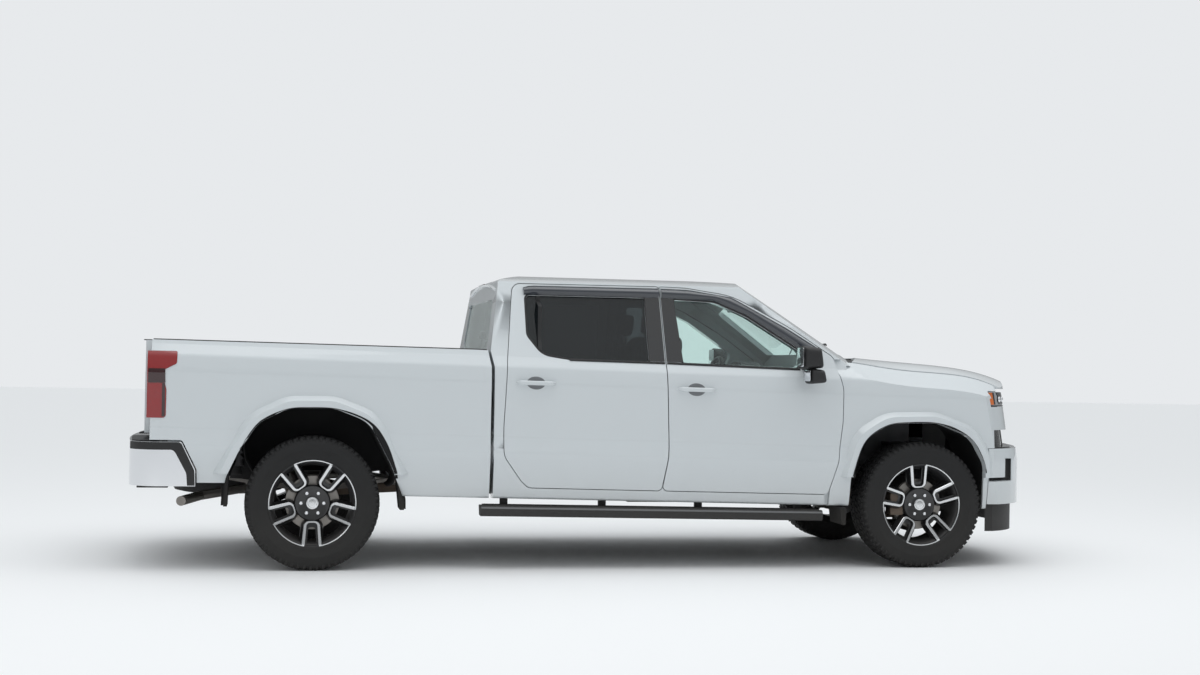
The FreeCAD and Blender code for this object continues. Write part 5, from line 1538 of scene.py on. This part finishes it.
@dataclass
class FrontEnd:
    """Lamps, grille mesh and slots of the nose."""

    frame: dict
    lamp_z: float = 1.122
    lamp_ys: tuple[float, ...] = (0.655, 0.735, 0.805)
    ahead: float = 3.4
    strip_wall: float = 0.0012
    bar_radii: Point2 = (0.0028, 0.0024)
    fog: Corner = (0.001, 0.60, 0.66)

    def markers(self, side: Side) -> None:
        """Lay the amber marker, the bezels and the lower strip on a headlamp.

        Args:
            side: side of the truck.
        """
        skin = Skin(self.frame, ["headlamps", "front_fenders", "front_bumper"])
        rows = (
            # name, stand-off, finish, low curve, high curve
            ("marker", 0.0015, AMBER,
             ((2.606, 1.086), (2.640, 1.086)), ((2.566, 1.168), (2.622, 1.168))),
            ("bezel", 0.0017, GLOSS_BLACK,
             ((2.641, 1.086), (2.655, 1.086)), ((2.623, 1.168), (2.640, 1.168))),
            ("cover", 0.0016, GLOSS_BLACK,
             ((2.700, 1.126), (2.770, 1.126)), ((2.668, 1.168), (2.755, 1.168))),
            ("edge", 0.0019, GLOSS_BLACK,
             ((2.600, 1.074), (2.780, 1.074)), ((2.600, 1.0815), (2.780, 1.0815))),
        )
        for name, lift, finish, low, high in rows:
            strip(skin, side, f"lamp_{name}", finish, run(low, 8), run(high, 8), 6, lift, crease=50,
                  wall=self.strip_wall)
        for k, y in enumerate(self.lamp_ys):
            seen = skin.look((self.ahead, side.value * y, self.lamp_z), (-1, 0, 0))
            if seen is None:
                continue
            bezel = Shape().lathe([(0.0008, 0.036), (0.0025, 0.034), (0.0015, 0.028), (0.0010, 0.020)], 40)
            bezel.moved(facing(*seen)).fitted(f"lamp_bezel_{k}_{side.word}", GLOSS_BLACK, crease=40)
            dome = Shape().lathe([(0.0012, 0.020), (0.006, 0.018), (0.010, 0.012), (0.012, 0.004),
                                  (0.0122, 0.0005)], 32)
            dome.moved(facing(*seen)).fitted(f"lamp_dome_{k}_{side.word}", REFLECTOR, crease=60)

    def mesh(self) -> None:
        """Fill the grille and the lower intake with fine bars."""
        rows = (
            # name, half width, z low, z high, inset, pitch across, pitch up
            ("grille_mesh", 0.515, 0.850, 1.146, 0.100, 0.030, 0.0212),
            ("intake_mesh", 0.415, 0.564, 0.686, 0.055, 0.030, 0.0205),
        )
        level, upright = self.bar_radii
        for name, half, low, high, inset, across, rise in rows:
            shape = Shape()
            for z in spread(low, high, int((high - low) / rise)):
                shape.tube([Vector((nose_x(y, z, inset), y, z)) for y in spread(-half, half, 24)], level, 4)
            for y in spread(-half, half, int(2 * half / across)):
                bar = [Vector((nose_x(y, z, inset + 0.004), y, z)) for z in spread(low, high, 2)]
                shape.tube(bar, upright, 4)
            shape.fitted(name, GLOSS_BLACK, crease=30)
        back = [[Vector((nose_x(y, z, 0.075), y, z)) for z in (0.560, 0.690)]
                for y in spread(-0.420, 0.420, 16)]
        Shape().sheet(back).fitted("intake_back", FELT, wall=0.003)

    def slots(self, side: Side) -> None:
        """Line the bumper's L-shaped slot and add a fog lamp's ring.

        Args:
            side: side of the truck.
        """
        skin = Skin(self.frame, ["front_bumper"])
        slots = (("post", ((2.706, 0.583), (2.770, 0.583)), ((2.706, 0.722), (2.770, 0.722))),
                 ("foot", ((2.560, 0.5765), (2.768, 0.5765)), ((2.560, 0.5965), (2.768, 0.5965))))
        for name, low, high in slots:
            strip(skin, side, f"bumper_slot_{name}", FELT, run(low, 10), run(high, 10), 4, 0.0016, wall=0.001)
        lift, y, z = self.fog
        spot = Vector((nose_x(y, z) + lift, side.value * y, z))
        normal = Vector((0.91, side.value * 0.41, 0)).normalized()
        ring = Shape().lathe([(0.0, 0.040), (0.003, 0.038), (0.002, 0.032), (-0.002, 0.001)], 32)
        place = facing(spot - normal * 0.002, normal)
        ring.moved(place).fitted(f"fog_ring_{side.word}", GLOSS_BLACK, crease=40)

    def build(self) -> None:
        """Build the nose's pieces."""
        self.mesh()
        for side in Side:
            self.markers(side)
            self.slots(side)


@dataclass
class Bed:
    """Tail lamps, rail caps and tie-down rings, tailgate trim, rear bumper trim and the front wall's ribs."""

    frame: dict
    rail_ends: Point2 = (-2.884, -0.832)
    rail_section: tuple = ((0.852, -0.004), (0.852, 0.004), (0.858, 0.006), (0.925, 0.006), (0.932, 0.004),
                           (0.934, -0.004))
    tie_xs: Point2 = (-2.70, -1.00)
    tie_place: Point2 = (0.9055, 1.255)
    tie_radius: float = 0.022
    panel_half: float = 0.640
    panel_z: Corner = (0.925, 1.065, 1.205)
    panel_x: float = -2.9580
    panel_bow: float = 0.030
    pad_section: tuple = ((0.012, 0.7895), (0.012, 0.795), (0.018, 0.797), (0.120, 0.797), (0.126, 0.795),
                          (0.126, 0.7895))

    def lamps(self, side: Side) -> None:
        """Lay the dark bands and bright cells on a tail lamp.

        Args:
            side: side of the truck.
        """
        skin, s = Skin(self.frame, ["tail_lamps"]), side.value
        strip(skin, side, "tail_band", DARK_RED, run([(-2.906, 1.150), (-2.804, 1.150)], 8),
              run([(-2.906, 1.236), (-2.806, 1.236)], 8), 6, 0.0016, wall=0.0012)
        strip(skin, side, "tail_strip", DARK_RED, run([(-2.822, 0.944), (-2.804, 0.944)], 3),
              run([(-2.822, 1.148), (-2.806, 1.148)], 3), 12, 0.0018, wall=0.0012)
        cells = ((1.250, 1.335, RED_LENS), (1.155, 1.190, REFLECTOR), (0.950, 1.140, RED_LENS))
        blocks([(f"tail_cell_{k}_{side.word}", (-2.9135, s * 0.812, low), (-2.9075, s * 0.965, high), finish,
                 0.003) for k, (low, high, finish) in enumerate(cells)])

    def rails(self, side: Side) -> None:
        """Lay the thin black cap on the bed rail and hang the tie-down rings.

        Args:
            side: side of the truck.
        """
        s = side.value
        rings = []
        for x in spread(*self.rail_ends, 24):
            z = 1.388 - 0.0121 * (x + 0.804) + 0.0005
            rings.append([Vector((x, s * y, z + up)) for y, up in self.rail_section])
        Shape().skin(rings).fitted(f"rail_cap_{side.word}", GRAINED, crease=40)
        y, z = self.tie_place
        for k, x in enumerate(self.tie_xs):
            ring = [Vector((x + self.tie_radius * math.cos(a), s * y, z + self.tie_radius * math.sin(a)))
                    for a in angles(20)]
            Shape().tube(ring, 0.005, 8, looped=True).fitted(f"tie_down_{k}_{side.word}", CHASSIS, crease=60)

    def tailgate(self) -> None:
        """Add the panel's frame, the handle in its cup, the camera and the top cap to the tailgate."""
        half, (low, middle, high) = self.panel_half, self.panel_z
        corners = [(y, z, 0.03) for y, z in ((-half, low), (half, low), (half, high), (-half, high))]
        rings = []
        for grow, deep in ((0.0, 0.0), (0.004, -0.0025), (0.014, -0.0025), (0.018, 0.0)):
            rings.append([Vector((self.panel_x + y ** 2 * self.panel_bow + deep, y + y / half * grow,
                                  z + (z - middle) / (high - middle) * grow))
                          for y, z in arc_points(corners, 6)])
        Shape().skin(rings, caps=False).fitted("tailgate_frame", WHITE, "tailgate", crease=40)
        blocks((("tailgate_cup", (-2.9590, -0.088, 1.262), (-2.9385, 0.088, 1.318), SEAL, 0.004),
                ("tailgate_handle", (-2.9600, -0.080, 1.286), (-2.9480, 0.080, 1.312), GRAINED, 0.005)),
               "tailgate")
        lens = Shape().lathe([(0.0, 0.011), (0.004, 0.010), (0.005, 0.006), (0.0052, 0.0005)], 20)
        lens.moved(quarter((-2.9560, 0.0, 1.345), "Z")).fitted("tailgate_camera", GLOSS_BLACK, "tailgate",
                                                               crease=40)
        blocks((("tailgate_cap", (-2.9520, -0.770, 1.4090), (-2.8900, 0.770, 1.4150), GRAINED, 0.002),),
               "tailgate")

    def bumper(self) -> None:
        """Add the black step caps, the plate and its lamps to the rear bumper."""
        skin = Skin(self.frame, ["rear_bumper"])
        outer = run([(-3.010, 0.7885), (-2.850, 0.7885), (-2.706, 0.7885), (-2.700, 0.780), (-2.620, 0.616),
                     (-2.6165, 0.524)], 30)
        inner = run([(-3.010, 0.742), (-2.860, 0.742), (-2.752, 0.742), (-2.736, 0.726), (-2.668, 0.600),
                     (-2.6620, 0.524)], 30)
        for side in Side:
            strip(skin, side, "bumper_band", GRAINED, inner, outer, 4, 0.002, crease=60, wall=0.0015)
            rings = []
            for y in spread(*sorted((side.value * 0.250, side.value * 0.900)), 14):
                edge = -3.063 + (y / 0.8) ** 2 * 0.043 + max(abs(y) - 0.8, 0) * 0.42
                rings.append([Vector((edge + a, y, z)) for a, z in self.pad_section])
            Shape().skin(rings).fitted(f"step_pad_{side.word}", GRAINED, crease=40)
        blocks((("plate", (-3.0345, -0.152, 0.588), (-3.0325, 0.152, 0.742), PLATE, 0.001),
                ("plate_recess", (-3.0320, -0.163, 0.582), (-3.0300, 0.163, 0.748), SEAL, 0.0),
                ("plate_lamp_0", (-3.0560, -0.14, 0.7400), (-3.0350, -0.10, 0.7490), REFLECTOR, 0.002),
                ("plate_lamp_1", (-3.0560, 0.10, 0.7400), (-3.0350, 0.14, 0.7490), REFLECTOR, 0.002)))

    def wall(self) -> None:
        """Add the ribbed liner of the bed's front wall."""
        rib = Shape().box((-0.8685, -0.030, 0.905), (-0.8655, 0.030, 1.330)).object("rib", WHITE, bevel=0.001)
        repeated("bed_wall_ribs", Copies.ROW, rib, WHITE, Count=12, Start=(0.0, -0.825, 0.0),
                 Step=(0.0, 0.150, 0.0))

    def build(self) -> None:
        """Build everything behind the cab."""
        for side in Side:
            self.lamps(side)
            self.rails(side)
        self.tailgate()
        self.bumper()
        self.wall()


@dataclass
class CabTrim:
    """Roof lip, stop lamp, wipers, cowl ribs, running-board pads and post seals of the cab."""

    frame: dict
    roof_top: float = 1.905
    roof_radius: float = 4.4
    lip_half: float = 0.735
    wipers: tuple = (
        # name, (x, y) of the pivot, (x, y) of the tip
        ("driver", (1.640, 0.560), (1.530, -0.050)), ("passenger", (1.680, -0.080), (1.520, -0.640)))
    glass_z: float = 1.45
    glass_lean: Corner = (0.3, 0.0, 1.0)
    board_slope: float = -0.0124
    board_x: float = -0.858
    post: tuple = ((0.3215, 1.800), (0.3345, 1.319), (0.3575, 1.000), (0.3560, 0.700), (0.3240, 0.545))
    post_half: float = 0.0095

    def lip(self) -> None:
        """Add the lip over the back window with its stop lamp."""
        rings = []
        for y in spread(-self.lip_half, self.lip_half, 32):
            top = self.roof_top - (self.roof_radius - math.sqrt(self.roof_radius ** 2 - y * y))
            end = min(1.0, (self.lip_half - abs(y)) / 0.09) ** 0.5
            rings.append([Vector((x, y, top - drop)) for x, drop in (
                (-0.640, 0.028), (-0.700, 0.040), (-0.748 - 0.018 * end, 0.056 + 0.008 * end),
                (-0.744 - 0.016 * end, 0.066 + 0.010 * end), (-0.700, 0.076), (-0.640, 0.066))])
        Shape().skin(rings).fitted("roof_lip", WHITE, crease=50)
        blocks((("stop_lamp", (-0.7640, -0.150, 1.8340), (-0.7560, 0.150, 1.8450), DARK_RED, 0.002),))

    def over_glass(self, skin: Skin, pivot: Point2, tip: Point2, shares: Sequence[float], back: float,
                   lift: float, arch: float) -> list[Vector]:
        """Trace a wiper held over the windscreen.

        Args:
            skin: the surface under it.
            pivot: (x, y) of its pivot.
            tip: (x, y) of its tip.
            shares: shares of the way from pivot to tip.
            back: how far it is set back.
            lift: its height over the glass.
            arch: how much higher its middle is.

        Returns:
            Its points.
        """
        lean = Vector(self.glass_lean).normalized()
        points = []
        for share in shares:
            x = pivot[0] + (tip[0] - pivot[0]) * share - back
            y = pivot[1] + (tip[1] - pivot[1]) * share
            glass = skin.top(x, y)
            points.append(Vector((x, y, self.glass_z)) if glass is None
                          else glass + lean * (lift + arch * math.sin(math.pi * share)))
        return points

    def wiper_pair(self) -> None:
        """Add both wiper arms with their blades."""
        skin = Skin(self.frame, ["cab_shell", "cab_glass", "cowl"])
        for name, pivot, tip in self.wipers:
            arm = self.over_glass(skin, pivot, tip, spread(0.0, 1.0, 12), 0.0, 0.012, 0.006)
            Shape().tube(arm, 0.005, 6).fitted(f"wiper_arm_{name}", SEAL, crease=60)
            blade = self.over_glass(skin, pivot, tip, spread(0.25, 1.05, 14), 0.012, 0.006, 0.0)
            Shape().tube(blade, 0.006, 5).fitted(f"wiper_blade_{name}", SEAL, crease=60)

    def post_seal(self, side: Side) -> None:
        """Lay a dark seal on the post behind the line between the doors.

        Args:
            side: side of the truck.
        """
        low, high = ([(x + shift, z) for x, z in run(self.post, 40)]
                     for shift in (-self.post_half, self.post_half))
        strip(Skin(self.frame, ["cab_shell"]), side, "post_seal", FELT, low, high, 2, 0.0012, crease=40)

    def along_board(self, side: Side, ends: Point2, section: Sequence[Point2]) -> Shape:
        """Sweep a section along a running board.

        Args:
            side: side of the truck.
            ends: its ends by X.
            section: its (|y|, z) points at the board's rear.

        Returns:
            The shape.
        """
        return Shape().skin([[Vector((x, side.value * y, z + self.board_slope * (x - self.board_x)))
                              for y, z in section] for x in ends])

    def board(self, side: Side) -> None:
        """Lay the ribbed pad and the edge strip on a running board.

        Args:
            side: side of the truck.
        """
        word, s = side.word, side.value
        pad = self.along_board(side, (-0.840, 1.376), ((0.885, 0.4045), (0.885, 0.4095), (0.984, 0.4115),
                                                       (0.984, 0.4070)))
        pad.fitted(f"board_pad_{word}", SEAL, crease=30)
        rib = self.along_board(side, (-0.830, 1.366), ((0.0, 0.0), (0.0, 0.0018), (0.004, 0.0018),
                                                       (0.004, 0.0)))
        repeated(f"board_ribs_{word}", Copies.ROW, rib.object("rib", GRAINED), GRAINED, Count=8,
                 Start=(0.0, s * 0.892, 0.4092), Step=(0.0, s * 0.0115, 0.00025))
        edge = self.along_board(side, (-0.856, 1.392), ((1.0005, 0.3990), (1.0075, 0.3985), (1.0105, 0.3900),
                                                        (1.0085, 0.3870), (1.0010, 0.3880)))
        edge.fitted(f"board_edge_{word}", EDGE, crease=30)

    def cowl(self) -> None:
        """Add the cowl's ribs."""
        skin = Skin(self.frame, ["cowl", "cab_shell"])
        shape = Shape()
        for y in spread(-0.60, 0.60, 30):
            spot = skin.top(1.800 - y * y / 3.4, y)
            if spot is not None:
                shape.box(spot - Vector((0.022, 0.0035, 0.001)), spot + Vector((0.022, 0.0035, 0.0035)))
        shape.fitted("cowl_ribs", GRAINED)

    def build(self) -> None:
        """Build the cab's outside trim."""
        self.lip()
        self.wiper_pair()
        self.cowl()
        for side in Side:
            self.board(side)
            self.post_seal(side)


@dataclass
class Cabin:
    """Padded seats, steering wheel rim, dials and console."""

    seat_y: float = 0.425
    fill: float = 0.75
    squareness: float = 0.42
    column_rise: float = math.radians(24)
    hub: Corner = (1.000, 0.425, 1.206)
    grip: Point2 = (0.178, 0.0172)

    def cushion(self, name: str, centre: Corner, half: Corner, puff: float, lean: float,
                bolster: float = 0.0, seams: int = 0) -> bpy.types.Object:
        """Build one padded cushion.

        Args:
            name: name of the piece.
            centre: its middle.
            half: its half sizes along X, Y and Z.
            puff: how far its face swells.
            lean: tilt about Y in radians.
            bolster: how far the sides stand above the middle.
            seams: stitched grooves across the face.

        Returns:
            The cushion.
        """
        rings = []
        for v in spread(-1.0, 1.0, 20):
            ring = []
            for a in angles(32):
                c, d = math.cos(a), math.sin(a)
                x = half[0] * math.copysign(abs(c) ** self.squareness, c)
                z = half[2] * math.copysign(abs(d) ** self.squareness, d)
                ends, face = 1 - abs(v) ** 6 * 0.16, max(d, 0)
                rise = (puff * (1 - v * v) + bolster * max(abs(v) - 0.55, 0) / 0.45) * face
                if seams:
                    wave = abs(math.sin(math.pi * seams * (x / half[0] + 1) / 2))
                    rise -= 0.006 * (1 - min(wave * 5, 1)) * face * (1 - abs(v) ** 4)
                ring.append(Vector((x * ends, half[1] * v, z * ends + rise)))
            rings.append(ring)
        shape = Shape().skin(rings).moved(Matrix.Translation(centre) @ Matrix.Rotation(lean, 4, "Y"))
        made = shape.fitted(name, CLOTH, crease=80, levels=1)
        return made

    def front_seat(self, side: Side) -> bpy.types.Object:
        """Build one front seat.

        Args:
            side: side of the truck.

        Returns:
            Its cushion.
        """
        word, y = side.word, side.value * self.seat_y
        cushion = self.cushion(f"seat_cushion_{word}", (0.700, y, 0.905), (0.262, 0.255, 0.070), 0.012, -0.05,
                               0.022, 4)
        self.cushion(f"seat_back_{word}", (0.425, y, 1.235), (0.285, 0.250, 0.058), 0.010, -1.37, 0.026, 5)
        self.cushion(f"head_rest_{word}", (0.346, y, 1.598), (0.078, 0.125, 0.044), 0.006, -1.45)
        posts = Shape()
        for dy in (-0.055, 0.055):
            posts.tube([Vector((0.350, y + dy, 1.470)), Vector((0.346, y + dy, 1.560))], 0.007, 10)
        posts.fitted(f"head_posts_{word}", CHROME)
        blocks(((f"seat_base_{word}", (0.460, y - 0.195, 0.641), (0.880, y + 0.195, 0.850), CABIN, 0.015),
                (f"seat_shell_{word}", (0.318, y - 0.215, 0.900), (0.345, y + 0.215, 1.455), CABIN, 0.012)))
        return cushion

    def seats(self) -> None:
        """Build the front seats, the rear bench and the console with its cup holders."""
        first, _ = [self.front_seat(side) for side in Side]
        self.cushion("bench_cushion", (-0.395, 0, 0.905), (0.225, 0.680, 0.085), 0.010, -0.03, 0.010, 3)
        self.cushion("bench_back", (-0.628, 0, 1.245), (0.275, 0.675, 0.058), 0.008, -1.40, 0.008, 4)
        for k, y in enumerate((-0.42, 0.0, 0.42)):
            self.cushion(f"bench_rest_{k}", (-0.668, y, 1.500), (0.030, 0.105, 0.040), 0.004, -1.45)
        blocks((("bench_base", (-0.640, -0.500, 0.641), (-0.300, 0.500, 0.830), CABIN, 0.015),))
        console = Shape().box((0.480, -0.113, 0.766), (1.118, 0.113, 0.960))
        console.box((0.500, -0.105, 0.955), (0.820, 0.105, 0.989)).fitted("console", CABIN, bevel=0.012)
        for k, x in enumerate((0.885, 0.975)):
            cup = Shape().lathe([(0.0, 0.001), (0.0, 0.038), (0.006, 0.040), (0.010, 0.038), (0.008, 0.034),
                                 (0.002, 0.030)], 28)
            cup.moved(quarter((x, 0.0, 0.960), "X")).fitted(f"cup_holder_{k}", SATIN, crease=40)
        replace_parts(first, "seats")

    def wheel(self) -> None:
        """Add the leather rim, thumb pads and stalks of the steering wheel."""
        hub, across = Vector(self.hub), Vector((0, 1, 0))
        out = Vector((-math.cos(self.column_rise), 0, math.sin(self.column_rise)))
        up = Vector((math.sin(self.column_rise), 0, math.cos(self.column_rise)))
        radius, thick = self.grip
        ring = [hub + out * 0.012 + (across * math.cos(a) + up * math.sin(a)) * radius for a in angles(64)]
        Shape().tube(ring, thick, 14, looped=True).fitted("wheel_rim", LEATHER, crease=70)
        for k, way in enumerate((-1, 1)):
            pad = [hub + out * 0.022 + across * way * a + up * b for a, b in
                   ((0.060, -0.020), (0.120, -0.014), (0.125, 0.016), (0.060, 0.022))]
            Shape().prism(pad, out * 0.010).fitted(f"wheel_pad_{k}", SATIN, bevel=0.003)
            stalk = [hub - out * 0.05 + Vector((0, way * 0.03, 0)),
                     hub - out * 0.045 + Vector((0, way * 0.15, 0.02))]
            Shape().tube(stalk, 0.007, 10).fitted(f"stalk_{k}", CABIN, crease=60)

    def dials(self) -> None:
        """Add the hood of the dials, the screen, the vents, the dash strip and the inner mirror."""
        rings = []
        for a in spread(0.0, math.pi, 16):
            y, z = self.hub[1] + 0.195 * math.cos(a), 1.290 + 0.050 * math.sin(a)
            rings.append([Vector((x, y, z + rise)) for x, rise in
                          ((1.185, 0.0), (1.185, 0.010), (1.330, 0.008), (1.330, -0.004))])
        Shape().skin(rings).fitted("dial_hood", CABIN, crease=40)
        blocks((("screen", (1.1440, -0.130, 1.120), (1.1540, 0.130, 1.262), GLOSS_BLACK, 0.004),))
        for k, y in enumerate((-0.760, -0.190, 0.190, 0.740)):
            vent = Shape().box((1.1460, y - 0.045, 1.150), (1.1600, y + 0.045, 1.225))
            for z in spread(1.160, 1.205, 3):
                vent.box((1.1430, y - 0.040, z), (1.1470, y + 0.040, z + 0.004))
            vent.fitted(f"vent_{k}", SATIN, bevel=0.001)
        blocks((("dash_strip", (1.1475, -0.820, 1.1010), (1.1560, 0.820, 1.1130), SATIN, 0.002),))
        inner = Shape().box((1.055, -0.055, 1.772), (1.075, 0.055, 1.795))
        inner.box((1.030, -0.120, 1.700), (1.050, 0.120, 1.762)).fitted("inner_mirror", CABIN, bevel=0.006)

    def build(self) -> None:
        """Build the cabin."""
        self.seats()
        self.wheel()
        self.dials()


@dataclass
class Underbody:
    """Small running gear seen from below."""

    coil_turns: float = 5.5
    coil_radius: float = 0.066
    coil_y: float = 0.600
    coil_z: Point2 = (0.560, 0.785)
    clamp_shift: float = 0.03825
    clamp_line: tuple = ((0.492, 0.530), (0.492, 0.385), (0.532, 0.3655), (0.572, 0.385), (0.572, 0.530))
    cover_x: float = REAR_AXLE_X - 0.119
    bolts_x: float = REAR_AXLE_X - 0.124
    bolts: int = 12
    bolt_circle: float = 0.104

    def coil(self, side: Side) -> None:
        """Build the coil round a front strut.

        Args:
            side: side of the truck.
        """
        points = []
        for share in spread(0.0, 1.0, 96):
            a = 2 * math.pi * self.coil_turns * share
            points.append(Vector((FRONT_AXLE_X + self.coil_radius * math.cos(a),
                                  side.value * self.coil_y + self.coil_radius * math.sin(a),
                                  self.coil_z[0] + (self.coil_z[1] - self.coil_z[0]) * share)))
        Shape().tube(points, 0.0075, 8).fitted(f"coil_{side.word}", CHASSIS, crease=70)

    def clamps(self, side: Side) -> None:
        """Build the clamps that hold the rear axle to a leaf spring.

        Args:
            side: side of the truck.
        """
        shape = Shape()
        for x in (REAR_AXLE_X - self.clamp_shift, REAR_AXLE_X + self.clamp_shift):
            shape.tube([Vector((x, side.value * y, z)) for y, z in self.clamp_line], 0.007, 8)
        shape.fitted(f"spring_clamps_{side.word}", STEEL, crease=60)

    def build(self) -> None:
        """Build the coils, clamps, axle cover and bolts."""
        for side in Side:
            self.coil(side)
            self.clamps(side)
        cover = Shape().lathe([(0.0, 0.118), (0.010, 0.112), (0.030, 0.085), (0.034, 0.001)], 40)
        cover.moved(quarter((self.cover_x, 0.0, TYRE_RADIUS), "Z")).fitted("axle_cover", RUSTY, crease=30)
        bolt = Shape().lathe([(0.0, 0.007), (0.006, 0.007), (0.0065, 0.005), (0.0066, 0.0005)], 6)
        repeated("axle_bolts", Copies.RING, bolt.object("bolt", STEEL), STEEL,
                 place=quarter((self.bolts_x, 0.0, TYRE_RADIUS), "Z"), Count=self.bolts,
                 Radius=self.bolt_circle, Phase=0.0)


def main() -> None:
    """Build the scene piece by piece."""
    logging.basicConfig(level=logging.INFO, format="%(message)s")
    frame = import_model()
    bpy.context.scene.view_settings.view_transform = "Standard"
    studio = Studio()
    studio.camera()
    studio.floor()
    studio.lamps()
    FrameDress(frame).dress()
    for end, axle_x, turn in (("front", FRONT_AXLE_X, 4.0), ("rear", REAR_AXLE_X, 36.0)):
        for side in Side:
            Wheel(end, side, axle_x, math.radians(turn)).build()
    doors = [f"door_{end}_{side.word}" for end in ("front", "rear") for side in Side]
    skin = Skin(frame, doors + ["cab_shell"])
    lips = (ArchLip("rear_arch_lip", ["bed_sides"], REAR_EDGE, REAR_LIP, (REAR_AXLE_X, 0.50), (8.0, 172.0)),
            ArchLip("front_arch_lip", ["front_fenders"], FRONT_EDGE, FRONT_LIP, (2.060, 0.50), (16.0, 168.0)))
    for side in Side:
        WindowTrim(side, skin).build()
        DoorHandle("rear", side, skin, (-0.520, 1.184)).build()
        DoorHandle("front", side, skin, (0.531, 1.158)).build()
        Mirror(side).build()
        ArchFelt(side).build()
        for lip in lips:
            lip.build(frame, side)
    for part in (FrontEnd(frame), Bed(frame), CabTrim(frame), Cabin(), Underbody()):
        part.build()


if __name__ == "__main__":
    main()
